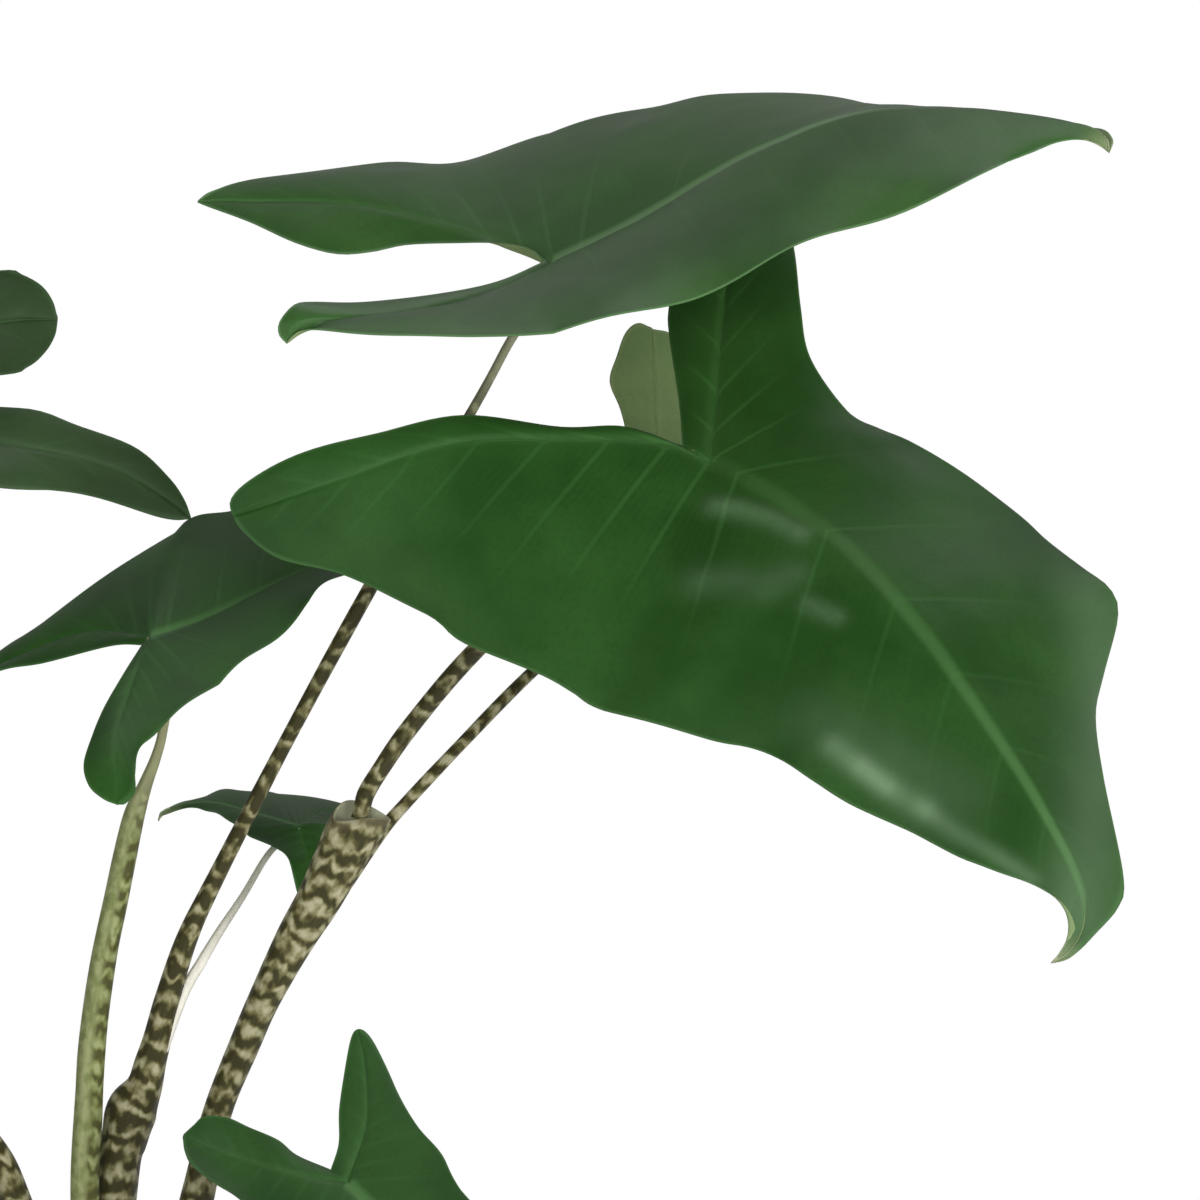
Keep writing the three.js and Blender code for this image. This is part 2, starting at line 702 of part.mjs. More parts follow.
addPiece("pot", potGeometry(), POT_CLAY);
addPiece("soil", toGeometry(soil), POTTING_SOIL);
addPiece("corm", toGeometry(corm), CORM_SKIN);
for (const [name, leaf] of Object.entries(LEAVES)) {
  addPiece(`stalk_${name}`, toGeometry(stalks[name]), name === "centre" ? PALE_STALK : BANDED_STALK);
  addPiece(`blade_${name}`, bladeGeometry(leaf), LEAF);
}

export default plant;
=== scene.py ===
"""A potted Alocasia zebrina: the fine surface and the finish of every piece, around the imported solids."""
import math
import random

import bpy
import numpy as np
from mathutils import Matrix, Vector, noise


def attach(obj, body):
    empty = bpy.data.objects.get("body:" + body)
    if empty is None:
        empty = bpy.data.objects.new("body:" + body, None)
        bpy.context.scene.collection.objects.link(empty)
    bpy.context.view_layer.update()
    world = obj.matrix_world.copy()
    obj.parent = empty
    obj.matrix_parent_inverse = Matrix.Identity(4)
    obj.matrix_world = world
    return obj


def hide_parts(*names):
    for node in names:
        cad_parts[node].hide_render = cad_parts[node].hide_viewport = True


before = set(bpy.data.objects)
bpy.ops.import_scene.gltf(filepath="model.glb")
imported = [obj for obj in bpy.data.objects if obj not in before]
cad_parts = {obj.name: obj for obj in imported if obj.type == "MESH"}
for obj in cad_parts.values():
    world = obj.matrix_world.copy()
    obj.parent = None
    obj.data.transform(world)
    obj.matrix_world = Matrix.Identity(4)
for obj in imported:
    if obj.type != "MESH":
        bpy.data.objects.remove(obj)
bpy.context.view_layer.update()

MM = 0.001
FULL_TURN = 2 * math.pi
random.seed(11)

# The view: from the front, level but for a slight downward tilt.
VIEW_TARGET = (165, 0, 471.7)
VIEW_DISTANCE = 3000
VIEW_TILT = 6
LENS = 270
SENSOR = 36

# Pot, soil and corm, as in the solids.
POT_HEIGHT = 165
POT_TOP_RADIUS = 95
POT_BASE_RADIUS = 66
POT_WALL = 4
POT_FLOOR = 6
POT_RIM_HEIGHT = 22
POT_RIM_PROUD = 4
POT_EASE = 1.5
POT_SEGMENTS = 160
DRAIN_HOLES = 4
DRAIN_RADIUS = 4.5
DRAIN_RING = 40
SOIL_TOP = 148
SOIL_MOUND = 6
SOIL_MOUND_RADIUS = 60
SOIL_GAP = 0.5
SOIL_SEGMENTS = 120
SOIL_RING = 1.7
CORM_RADIUS = 30
CORM_TOP = 158
CORM_BOTTOM = 104

# Lumps in the soil: how high and how far apart.
SOIL_LUMPS = [(1.6, 13), (0.9, 5), (0.5, 2.1)]

# Blades: rows along a rib, columns out to the edge, and waves of the edge.
FRONT_ROWS = 84
LOBE_ROWS = 56
BLADE_COLUMNS = 34
INNER_COLUMNS = 16
CURVE_STEPS = 16
SOFTENING = 60
FRONT_WAVES = 3
LOBE_WAVES = 1
WAVE_GROWTH = 3
WAVE = 1.5
BULGE = 0.05
BLADE_THICKNESS = 0.8
EDGE_THICKNESS = 0.5
EDGE_BAND = 6

# Relief of a blade whose midrib is as long as FULL_LEAF. A shorter blade has less of it.
FULL_LEAF = 200
QUILT = 0.2
QUILT_SPACING = 25
FURROW = 0.45
SWELLS = [(0.9, 38), (0.25, 11)]

# Each rib's half width, and how far its keel stands out below.
MIDRIB = (2.0, 1.5)
LOBE_RIB = (1.6, 1.1)
RIB_TIP_SHARE = 0.15

# How clearly a lobe's rib, a midrib before it rises and the lateral veins far from the junction show, and how
# far the veins fan out clearly round the junction.
LOBE_RIB_SEEN = 0.15
LOW_MIDRIB_SEEN = 0.25
FAR_VEINS_SEEN = 0.35
FAN = 55

# Where the lateral veins leave their rib and where they meet the edge, as shares of the rib's length and of
# the edge's. From the junction they run up to the leaf's tip, and below zero down to a lobe's tip.
OUTER_VEINS = (
    (-1, -0.86, -0.74, -0.61, -0.48, -0.34, -0.21, -0.09, 0, 0.05, 0.22, 0.37, 0.51, 0.64, 0.76, 0.87, 1),
    (-1, -0.94, -0.87, -0.78, -0.67, -0.54, -0.4, -0.25, -0.08, 0.1, 0.29, 0.45, 0.6, 0.73, 0.84, 0.93, 1),
)
INNER_VEINS = (
    (0, 0.1, 0.23, 0.37, 0.52, 0.66, 0.8, 1),
    (0, 0.16, 0.32, 0.48, 0.63, 0.77, 0.89, 1),
)

# Stalks and the sheaths round two of them.
STALK_SIDES = 36
RING_SPACING = 1.6
STALK_START = 24
NECK_LENGTH = 7
NECK_TIP_RADIUS = 1.4
FLUTES = 9
FLUTE = 0.015
WOBBLE = 0.03
SHEATH_WALL = 0.9
SHEATH_INSIDE = 16
LAP = 0.10

# The bands round a stalk: how far apart they lie and how far they swing up and down.
BAND_STEP = 7.8
BAND_SWING = 12

# Patterns on Object coordinates, in repeats to the metre: patches of 36 mm and cells of 1.5 mm on a leaf,
# clouds of 7 cm, specks of 2.4 mm and turning marks of 4 mm on the clay, and clouds of 17 cm on the plaster.
LEAF_PATCHES = 28
LEAF_CELLS = 650
CLAY_CLOUDS = 14
CLAY_SPECKS = 420
CLAY_TURNING = (3, 3, 260)
PLASTER_CLOUDS = 6

# Patterns on a stalk, in repeats to the millimetre across it, from front to back and along it.
BAND_SWINGS = (0.22, 0.22, 0.12)
BAND_BREAKS = (0.3, 0.3, 0.24)
STREAKS = (1.2, 1.2, 0.05)

FLOOR_RADIUS = 900
PLANT_MIDDLE = (0.1, 0, 0.42)

# Each leaf is a net of curves through given points, in millimetres from the origin, as in the solids.
# Its midrib runs from the junction to the leaf's tip. Each half has a rib down its lobe, an outer curve from
# the leaf's tip round to the lobe's, whose shoulder point lies opposite the junction, and an inner curve from
# the notch to the lobe's tip. That tip is given once, as the last point of the rib. The right half is on the
# right hand as one looks from the junction to the tip. The face is the way that the upper side looks.
# Each stalk point also has the stalk's radius there and, where a sheath is flattened, its depth as a share of
# its width. A mouth names the stalk point where its sheath ends, the side in degrees where it is cut down,
# and how deep and wide that cut is.
# Bulge is how far a blade rises between rib and edge, as a share of that width, and wave how far its edge
# goes up and down. Swells raise the blade. The highlight streaks are painted highlights, soft pale streaks
# that stand in for gloss: each is a run of points, a width and a strength. The sheen share is a painted
# sheen, a pale veil all over that stands in for reflected light, and veins says how clearly the lateral
# veins show. The midrib comes to show between the two shares of rib_rises and fades between those of
# rib_fades. Marks makes a stalk's bands darker, or paler below zero.
LEAVES = {}
LEAVES["top"] = {
    "junction": (149, 0, 584), "notch": (147, 0, 585), "face": (-0.15, -0.35, 0.92), "bulge": 0.06,
    "midrib": [
        (178, 0, 599), (216, -4, 621), (251, -8, 634.8), (291, -18, 636), (316, -27, 633),
        (326, -31, 631.2), (331.5, -34, 627.6), (332, -34.6, 622.8),
    ],
    "right_half": {
        "rib": [(126, -38, 576), (96, -68, 571), (73, -82, 571), (66.5, -84.5, 569), (63.8, -85, 563.8)],
        "outer": [
            (327.5, -35.4, 626.8), (321, -36, 628.6), (315, -38, 627.8), (309, -41, 625.4), (301, -44, 621),
            (282, -56, 612.5), (238, -64, 597), (209, -70, 584), (185, -76, 575.4), (150, -84, 567.2),
            (126, -87, 565), (101, -90, 567.4), (77, -87, 569.4), (69, -86, 569), (66, -85.3, 567),
        ],
        "shoulder": 9,
        "inner": [
            (131, -25, 579.6), (112, -45, 577), (88, -62, 575.5), (72, -75, 576.5), (66.8, -80, 576.3),
            (63.4, -83, 573.6), (61.2, -84.5, 570), (61.4, -85, 566.6),
        ],
    },
    "left_half": {
        "rib": [(118, 30, 594), (80, 60, 600), (45, 72, 600), (28, 75, 600)],
        "outer": [
            (333, -33, 627.8), (328.5, -27, 631.4), (313, -15, 630.6), (286, 22, 628.4), (259, 44, 633.8),
            (237, 56, 636), (204, 70, 638), (181, 78, 631), (148, 86, 622.6), (117, 92, 611), (90, 92, 612),
            (51, 84, 609), (34, 77, 604.5), (28.5, 75.2, 600.8),
        ],
        "shoulder": 8,
        "inner": [
            (141, 6, 588.8), (131, 15, 590), (118, 28, 589), (100, 40, 587.6), (88, 43.5, 585),
            (76, 46, 584.2), (62, 52, 587.6), (46, 63, 594), (29.5, 74.5, 599.2),
        ],
    },
    "stalk": [
        (-1, 4, 146, 7), (-1.6, 4, 215, 7), (2.6, 3, 276, 7.3), (5.3, 3, 290, 7.9), (7.8, 3, 299.4, 8.6),
        (12, 2.7, 307.4, 6.1), (14, 2.4, 315, 5.4), (16.6, 2, 324, 4.8), (20.2, 1, 338, 4.2),
        (26.8, 0, 358, 3.6), (36.3, -1, 378, 2.9), (60.6, -2, 425, 2.45), (87.8, -3, 475, 2.5),
        (124, -4, 538, 1.6), (137.5, -2, 562, 1.5),
    ],
    "veins": 0.6, "rib_fades": (0.48, 0.72), "wax": 0.03, "marks": 0.08,
}
LEAVES["right"] = {
    "junction": (201, -45, 522), "notch": (192, -42, 527), "face": (-0.1, -0.85, 0.5),
    "midrib": [
        (214, -54, 517), (243, -72, 499), (266, -88, 475), (285, -102, 450), (304, -116, 421),
        (318, -124, 395), (320.5, -126, 381), (315.5, -127.5, 371.5), (309.5, -128, 368),
    ],
    "right_half": {
        "rib": [(186, -45, 528), (152, -52, 530), (116, -60, 529), (80, -66, 518), (45.4, -66, 506)],
        "outer": [
            (315.4, -128.3, 374), (317, -128.3, 380.5), (313, -128, 388), (303.4, -127, 393.4),
            (284, -124, 399.4), (265, -120, 410), (245, -114, 417.2), (234, -110, 423.5),
            (223, -106, 431.2), (213, -103, 435.2), (199, -100, 437.4), (166, -92, 445.4),
            (156, -89, 450.7), (146, -86, 455.8), (121, -80, 465.5), (112, -77, 472.8), (103, -74, 477.6),
            (81, -70, 488), (60, -68, 493), (49, -66, 501),
        ],
        "shoulder": 11,
        "inner": [
            (173, -44, 533.4), (152, -48, 533.6), (120, -54, 538), (92, -60, 532.5), (73, -63, 528.2),
            (60, -65, 523.2), (49, -66, 516.4), (44.6, -66, 511),
        ],
    },
    "left_half": {
        "rib": [(203, -24, 540), (206, 6, 568), (211, 40, 596), (214, 62, 613)],
        "outer": [
            (316, -127, 370.3), (324, -121.5, 377.6), (331.6, -116.5, 385.3), (333.4, -112, 394),
            (328, -92, 423), (326, -76, 442), (329, -66, 454), (334.6, -53, 471), (332.6, -49, 479.5),
            (323.6, -42, 486.2), (312, -37.5, 495.4), (303, -34, 503.8), (286, -30, 516), (268, -26, 526),
            (257.5, -22, 530.2), (247, -18, 536), (235, -4, 552), (232, 10, 568), (230, 28, 587),
            (226, 46, 602),
        ],
        "shoulder": 15,
        "inner": [(191, -22, 540), (188, 0, 560), (188, 10, 569), (192, 34, 590), (201, 54, 605)],
    },
    "stalk": [
        (14, -4, 146, 6.5), (17, -4.5, 215, 6.3), (30.3, -5, 272, 5.6), (37, -5, 300, 4.9),
        (46.2, -5.5, 323, 5.2), (52.7, -5.5, 338, 5.4), (62.9, -6, 358, 6.5, 0.75),
        (71.2, -6, 372, 7.5, 0.68), (77.8, -6, 385, 8.4, 0.62), (84, -6, 397, 9.2, 0.58),
        (87.3, -6, 402.8, 9, 0.56), (87, -6.5, 407.5, 3), (91.2, -7, 414.6, 2.9), (101.7, -9, 430, 3),
        (122.4, -14, 455, 3), (155, -26, 487, 2.6), (183, -35, 508, 2.2),
    ],
    "mouth": {"at": 10, "low": 215, "depth": 9, "spread": 62}, "rib_rises": (0, 1.1),
    "rib_fades": (0.78, 1), "marks": 0.04,
    "swells": [
        ([(202.6, -55, 507), (210.4, -57, 508), (220, -62, 505), (230, -67.5, 500)], 2.6, 1.3),
        ([(199, -70, 483), (212, -76, 479), (228.3, -78, 484)], 4.2, 1.3),
        ([(230, -82, 478), (241.3, -87, 475)], 2.4, 0.9),
        ([(230, -108, 429), (245, -114, 418), (265, -120, 410), (284, -124, 400)], 7, 2.2),
    ],
    # Painted highlights: pale streaks along the lower edge, on the wrinkles by the junction, at the tip and
    # along the right edge.
    "painted_highlights": [
        ([(240.3, -108, 435.6), (249, -112, 429), (256.3, -116, 424), (269.2, -119, 416.9)], 4, 0.17),
        ([(249, -112, 430), (257, -116, 424.6)], 3.4, 0.17),
        ([(269.2, -119, 416.9), (280.4, -121, 408.1), (293.2, -123, 400.6), (302.8, -125, 394)], 3.2, 0.14),
        ([(236, -105, 442), (256, -110, 434), (280, -115, 420)], 12, 0.06),
        ([(318, -124, 384), (324, -110, 400), (330, -80, 435), (329, -66, 456), (328, -52, 472)], 12, 0.13),
        ([(202.6, -55, 506.7), (212.4, -58, 505.1), (222.2, -62, 502.8), (230.3, -67, 499.1)], 3.8, 0.13),
        ([(197.7, -70, 482), (207.5, -74, 484.3), (218.9, -78, 483.6), (227, -80, 488.6)], 5.5, 0.08),
        ([(233, -82, 477.4), (241.6, -87, 474.7)], 3, 0.1),
    ],
}
LEAVES["centre"] = {
    "junction": (16, -15, 461), "notch": (13, -13, 458), "face": (-0.4, -0.45, 0.8),
    "midrib": [(33, 5, 465), (58, 35, 475), (83, 65, 484), (106, 95, 489)],
    "right_half": {
        "rib": [(11, -42, 448), (7, -72, 434), (8, -84, 422), (8.4, -88, 414.2)],
        "outer": [
            (75, 20, 476), (66, 5, 468), (52.5, -15, 457), (39.5, -35, 447.5), (27.7, -52, 440.2),
            (20.4, -62, 434.5), (14, -72, 430.9), (13.4, -82, 424.5), (13.8, -86, 419),
            (11.2, -87.6, 414.9),
        ],
        "shoulder": 3,
        "inner": [
            (7.4, -38, 450), (2.4, -55, 441.6), (-0.9, -70, 433.4), (-2.8, -80, 426), (-0.8, -86, 420),
            (4, -88, 416),
        ],
    },
    "left_half": {
        "rib": [(-6, 12, 460), (-29, 18, 451), (-57, 12, 438)],
        "outer": [
            (72, 88, 504), (38, 64, 496), (27, 56, 492.5), (21, 51, 489), (6, 45, 479), (-23, 34, 460.6),
            (-37, 27, 453),
        ],
        "shoulder": 3,
        "inner": [(2, -6, 457), (-21, 6, 450), (-36, 9, 447)],
    },
    "stalk": [
        (-3, -14, 146, 5.7), (-6, -12, 215, 5.4), (-7.4, -10, 272, 4.8), (-6.1, -10, 300, 4.8),
        (-4.4, -10, 326, 4.6), (-0.7, -10, 352, 4.3), (3.5, -10, 372, 4.1), (7.7, -9.5, 392, 3.9),
        (10.2, -9, 402, 3.5), (13.6, -9, 411, 2.4), (17.1, -9, 420, 1.8), (19.3, -9, 428, 1.6),
        (20.5, -10, 439, 1.5),
    ],
    "rib_fades": (0.1, 0.75),
}
LEAVES["upper_left"] = {
    "junction": (-131, 30, 534), "notch": (-124, 30, 535), "face": (0.1, -0.3, 0.92), "bulge": 0.06,
    "midrib": [(-180, 35, 540), (-240, 30, 525), (-290, 15, 490), (-315, 0, 455)],
    "right_half": {
        "rib": [(-83, 15, 529), (-35, 4, 524), (2, 2, 516), (20, 4, 505.5), (28.8, 5, 498.2)],
        "outer": [
            (-290, -25, 470), (-240, -45, 500), (-180, -50, 515), (-130, -42, 518), (-80, -25, 516),
            (-35, -8, 510.8), (-8, -4, 509.2), (19, 3, 499.4),
        ],
        "shoulder": 3,
        "inner": [
            (-80, 24, 536), (-36, 12, 535.2), (-22, 10, 534), (-10, 8, 529.6), (9.8, 6, 522.3),
            (21.2, 5.5, 512.2), (26.4, 5, 504.8),
        ],
    },
    "left_half": {
        "rib": [(-86, 50, 548), (-40, 70, 559), (-19.5, 72, 560)],
        "outer": [
            (-285, 60, 490), (-235, 95, 520), (-180, 110, 540), (-130, 110, 555), (-80, 98, 570),
            (-39.5, 80, 577.6), (-32.4, 78, 576.3), (-25.4, 75.5, 572.6), (-21.2, 73.5, 566.8),
        ],
        "shoulder": 3,
        "inner": [
            (-90, 44, 540), (-39, 60, 542), (-29.3, 64, 544.5), (-23.6, 67, 549.2), (-20.4, 70, 554.6),
        ],
    },
    "stalk": [
        (-15, 3, 146, 5.8), (-16, 4, 215, 5.5), (-33, 6, 272, 5.2), (-45, 8, 294, 4.8), (-65, 12, 335, 4),
        (-93, 19, 410, 2.9), (-118, 26, 488, 2.1),
    ],
    "wax": 0.04,
}
LEAVES["small"] = {
    "junction": (63, 37, 391), "notch": (73, 39, 391), "face": (0, -0.2, 0.95), "bulge": 0.04, "wave": 0.4,
    "midrib": [
        (48, 52, 393.3), (34, 68, 394.8), (24, 76, 393.6), (17, 79.5, 391.3), (14, 80, 389.8),
        (13.4, 80, 387),
    ],
    "right_half": {
        "rib": [(66, 30, 383), (69, 25, 375), (70, 20, 366)],
        "outer": [
            (15, 79.4, 389.4), (27, 71, 392.7), (39, 50, 391.3), (46, 38, 387.4), (56, 26, 384.6),
            (60, 23.5, 382), (62, 21.5, 375), (64, 20.5, 369),
        ],
        "shoulder": 3,
        "inner": [(71, 30, 384), (74, 24, 375)],
    },
    "left_half": {
        "rib": [(70, 55, 393), (79, 56, 392), (86, 55, 391.4)],
        "outer": [(15, 80.8, 390.6), (26, 85, 393.8), (37, 90, 396.4), (54, 90, 395), (78, 72, 393.8)],
        "shoulder": 3,
        "inner": [(77, 46, 390), (83, 52, 390)],
    },
    "stalk": [
        (17, 1, 316, 1.9), (25, 2.5, 338, 1.9), (31.2, 4, 349, 1.8), (36.8, 10, 358, 1.5),
        (44.8, 18, 369.6, 1.2), (52.6, 31, 381.6, 1.1), (58, 38, 385.6, 1.1),
    ],
}
LEAVES["front"] = {
    "junction": (82, -60, 285), "notch": (76.4, -56, 288.8), "face": (-0.1, -0.75, 0.65),
    "midrib": [(105, -80, 265), (130, -105, 235), (150, -125, 200), (158, -135, 172)],
    "right_half": {
        "rib": [(64, -60, 288), (46, -52, 292), (27.2, -44, 298.5)],
        "outer": [
            (150, -140, 190), (128, -138, 212), (103, -120, 232), (78, -88, 252), (64, -72, 264),
            (47, -56, 279), (38, -50, 284), (30.3, -46, 289), (27.8, -44.5, 293.5),
        ],
        "shoulder": 3,
        "inner": [
            (65, -53, 293.2), (58.7, -51, 298), (49, -47, 301.6), (42, -45, 304.4), (34.5, -44, 304.8),
            (30.8, -44, 301.8),
        ],
    },
    "left_half": {
        "rib": [(88, -50, 303), (87.3, -38, 320), (84.6, -30, 331.8)],
        "outer": [
            (163, -122, 198), (157, -104, 230), (140, -84, 262), (119.8, -69, 283.8), (113, -59, 294),
            (105.4, -52, 301.6), (99, -45, 311.2), (94.2, -38, 320.6), (89.7, -32, 328.2),
            (86.8, -30, 331.2),
        ],
        "shoulder": 3,
        "inner": [
            (78.9, -53, 297), (78.9, -46, 307), (80.4, -38, 318), (82, -33, 327), (83.2, -30.5, 330.4),
        ],
    },
    "stalk": [
        (9, -18, 146, 4.8), (12, -20, 190, 4.4), (28, -28, 228, 3.5), (50, -40, 256, 2.6),
        (68, -48, 270, 2),
    ],
    "veins": 0.4, "wax": 0.03,
}
LEAVES["back"] = {
    "junction": (196, 70, 492), "notch": (201, 72, 500), "face": (0.6, 0.7, 0.4),
    "midrib": [(220, 100, 461), (252, 130, 423), (270, 150, 396)],
    "right_half": {
        "rib": [(186, 68, 516), (184, 65, 540), (183, 62, 557.6)],
        "outer": [
            (241, 125, 410), (206, 95, 431), (180, 75, 464), (174, 66, 492), (173.4, 62, 520),
            (171.8, 61, 531), (169, 60, 540.5), (171.8, 60, 549.5), (174.4, 60.5, 557), (178.4, 61, 560),
        ],
        "shoulder": 3,
        "inner": [(196, 70, 522), (196, 67, 543), (190, 64, 555)],
    },
    "left_half": {
        "rib": [(211, 92, 514), (217, 104, 535), (218, 108, 555)],
        "outer": [(291, 160, 420), (284, 152, 452), (263, 138, 482), (243, 126, 504), (232, 118, 529)],
        "shoulder": 3,
        "inner": [(206, 82, 521), (207, 94, 541)],
    },
    "stalk": [
        (80, -5.5, 376, 1.9), (92, -2, 394, 2.2), (99.4, 2, 402.5, 2.1), (118, 11, 421.5, 2),
        (141.4, 25, 444, 2), (173, 47, 470, 1.8),
    ],
    "marks": -0.08,
}
LEAVES["left"] = {
    "junction": (-140, -50, 400), "notch": (-133, -44, 405), "face": (-0.3, -0.75, 0.6), "wave": 2,
    "midrib": [(-165, -68, 390), (-195, -90, 355), (-220, -108, 310), (-235, -120, 258)],
    "right_half": {
        "rib": [(-170, -34, 415), (-205, -20, 425), (-238, -8, 425)],
        "outer": [
            (-247, -100, 285), (-262, -75, 335), (-255, -55, 375), (-245, -40, 400), (-250, -20, 415),
        ],
        "shoulder": 2,
        "inner": [(-150, -30, 415), (-180, -15, 432), (-212, -6, 436)],
    },
    "left_half": {
        "rib": [(-128, -40, 430), (-118, -22, 458), (-110, -5, 482)],
        "outer": [
            (-222, -128, 285), (-192, -122, 315), (-152, -105, 345), (-105, -72, 385), (-92, -45, 425),
            (-95, -20, 460),
        ],
        "shoulder": 3,
        "inner": [(-134, -32, 430), (-128, -16, 458)],
    },
    "stalk": [
        (-16, -12, 146, 5.5), (-20, -13, 200, 5.3), (-40, -18, 250, 4.8), (-68, -24, 300, 3.8),
        (-100, -31, 350, 2.8), (-124, -38, 382, 2.1),
    ],
    "marks": -0.05,
}
LEAVES["low_left"] = {
    "junction": (-105, 60, 285), "notch": (-99, 58, 290), "face": (-0.3, -0.1, 0.95), "bulge": 0.06,
    "wave": 2,
    "midrib": [(-130, 75, 280), (-165, 95, 260), (-195, 112, 228), (-212, 122, 195)],
    "right_half": {
        "rib": [(-92, 38, 292), (-80, 15, 292), (-66, 0, 286)],
        "outer": [(-212, 100, 215), (-188, 62, 240), (-155, 32, 258), (-118, 8, 268), (-85, -8, 278)],
        "shoulder": 3,
        "inner": [(-85, 42, 294), (-68, 20, 296)],
    },
    "left_half": {
        "rib": [(-100, 85, 300), (-90, 112, 312), (-78, 135, 315)],
        "outer": [(-195, 140, 215), (-165, 148, 250), (-132, 145, 280), (-108, 140, 300), (-92, 145, 312)],
        "shoulder": 2,
        "inner": [(-88, 75, 302), (-72, 100, 314), (-70, 120, 318)],
    },
    "stalk": [
        (-8, 18, 146, 5), (-14, 23, 190, 4.6), (-35, 34, 228, 3.8), (-62, 46, 256, 2.8), (-86, 55, 272, 2),
    ],
}


def ramp(value, low, high):
    """0 below low and 1 above high, with a smooth rise between."""
    share = np.clip((value - low) / (high - low), 0, 1)
    return share * share * (3 - 2 * share)


def hump(value, width):
    """1 at zero, falling away smoothly on both sides over that width."""
    return np.exp(-((value / width) ** 2))


def unit(vectors):
    """The same vectors, each one long."""
    length = np.linalg.norm(vectors, axis=-1, keepdims=True)
    return vectors / np.maximum(length, 1e-12)


def spline_at(points, spots):
    """The point and the direction of a uniform spline at each spot, counted in given points."""
    given = np.array(points, float)
    run = np.vstack([2 * given[0] - given[1], given, 2 * given[-1] - given[-2]])
    step = np.clip(np.floor(spots).astype(int), 0, len(given) - 2)
    share = (spots - step)[:, None]
    before, start, end, after = (run[step + k] for k in range(4))
    leaving, arriving = (end - before) / 2, (after - start) / 2
    place = (
        (2 * share**3 - 3 * share**2 + 1) * start
        + (share**3 - 2 * share**2 + share) * leaving
        + (3 * share**2 - 2 * share**3) * end
        + (share**3 - share**2) * arriving
    )
    heading = (
        (6 * share**2 - 6 * share) * (start - end)
        + (3 * share**2 - 4 * share + 1) * leaving
        + (3 * share**2 - 2 * share) * arriving
    )
    return place, unit(heading)


def smooth(points):
    """Points on a smooth curve through the given ones."""
    last = len(points) - 1
    return spline_at(points, np.linspace(0, last, CURVE_STEPS * last + 1))[0]


def lengths_to(run):
    """The length of a run of points up to each of them."""
    return np.r_[0, np.cumsum(np.linalg.norm(np.diff(run, axis=0), axis=1))]


def along(run, shares):
    """The points at shares of the way along a run of points, measured by length."""
    lengths = lengths_to(run)
    at = np.asarray(shares) * lengths[-1]
    return np.stack([np.interp(at, lengths, run[:, k]) for k in range(run.shape[1])], axis=1)


def crowded(count, share=0.6):
    """Shares from 0 to 1 that lie closer together towards both ends."""
    even = np.linspace(0, 1, count + 1)
    return (1 - share) * even + share * even**2 * (3 - 2 * even)


def from_run(points, run):
    """Each point's distance from a run of points, and the share of the run's length where it is nearest."""
    starts, steps = run[:-1], np.diff(run, axis=0)
    lengths = np.linalg.norm(steps, axis=1)
    before = np.r_[0, np.cumsum(lengths)[:-1]]
    nearest = np.full(len(points), np.inf)
    share = np.zeros(len(points))
    for start, step, length, gone in zip(starts, steps, lengths, before):
        if length < 1e-9:
            continue
        way = np.clip((points - start) @ step / length**2, 0, 1)
        distance = np.linalg.norm(points - start - way[:, None] * step, axis=1)
        closer = distance < nearest
        nearest[closer] = distance[closer]
        share[closer] = (gone + way[closer] * length) / lengths.sum()
    return nearest, np.minimum(share, 1)


def with_strokes(value, points, face, strokes):
    """The value at each point, raised by strokes that run along points, seen square to the leaf's face."""
    flat_points = points - (points @ face)[:, None] * face
    for run, width, strength in strokes:
        flat_run = np.array(run, float)
        flat_run -= (flat_run @ face)[:, None] * face
        value = value + strength * hump(from_run(flat_points, flat_run)[0], width)
    return value


def drift(points, size, seed):
    """Smooth noise from about -1 to 1 at each point, with swells of that size in millimetres."""
    shift = Vector((seed * 17.3, seed * 5.1, seed * 9.7))
    return np.array([noise.noise(Vector(point) / size + shift) for point in points])


def new_piece(name, points, faces, materials, face_materials=None, values=None):
    """A smooth mesh object from points in millimetres, with named values at its points."""
    mesh = bpy.data.meshes.new(name)
    mesh.from_pydata((np.asarray(points) * MM).tolist(), [], faces)
    for material in materials:
        mesh.materials.append(material)
    if face_materials is not None:
        mesh.polygons.foreach_set("material_index", face_materials)
    mesh.shade_smooth()
    for key, value in (values or {}).items():
        value = np.asarray(value, np.float32)
        kind, field = ("FLOAT", "value") if value.ndim == 1 else ("FLOAT_VECTOR", "vector")
        mesh.attributes.new(key, kind, "POINT").data.foreach_set(field, value.ravel())
    mesh.update()
    piece = bpy.data.objects.new(name, mesh)
    bpy.context.scene.collection.objects.link(piece)
    return piece


def stand_for(piece, node):
    """The piece rides with the plant and stands for a solid, which it hides."""
    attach(piece, "root")
    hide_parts(node)


# Blades


def patch(rib, edge, shares, across, leaf, waves):
    """A patch of blade between a rib and an edge, and its width at each row. The blade rises between them by
    a share of its width there, and waves towards the edge."""
    face = unit(np.array(leaf["face"], float))
    start = along(rib, shares)[:, None]
    end = along(edge, shares)[:, None]
    width = np.linalg.norm(end - start, axis=2, keepdims=True)
    out = across[None, :, None]
    arch = leaf.get("bulge", BULGE) * width * 4 * out * (1 - out)
    swing = np.sin(FULL_TURN * waves * shares)[:, None, None]
    ripple = leaf.get("wave", WAVE) * out**WAVE_GROWTH * swing
    return start + (end - start) * out + face * (arch + ripple), width[:, :, 0]


def soften(grid, across):
    """The grid with the fold opposite the junction eased away, most in the middle of its columns."""
    ease = (4 * across * (1 - across))[None, :, None]
    for _ in range(SOFTENING):
        middle = (grid[:-2] + 2 * grid[1:-1] + grid[2:]) / 4
        grid[1:-1] += ease * (middle - grid[1:-1])
    return grid


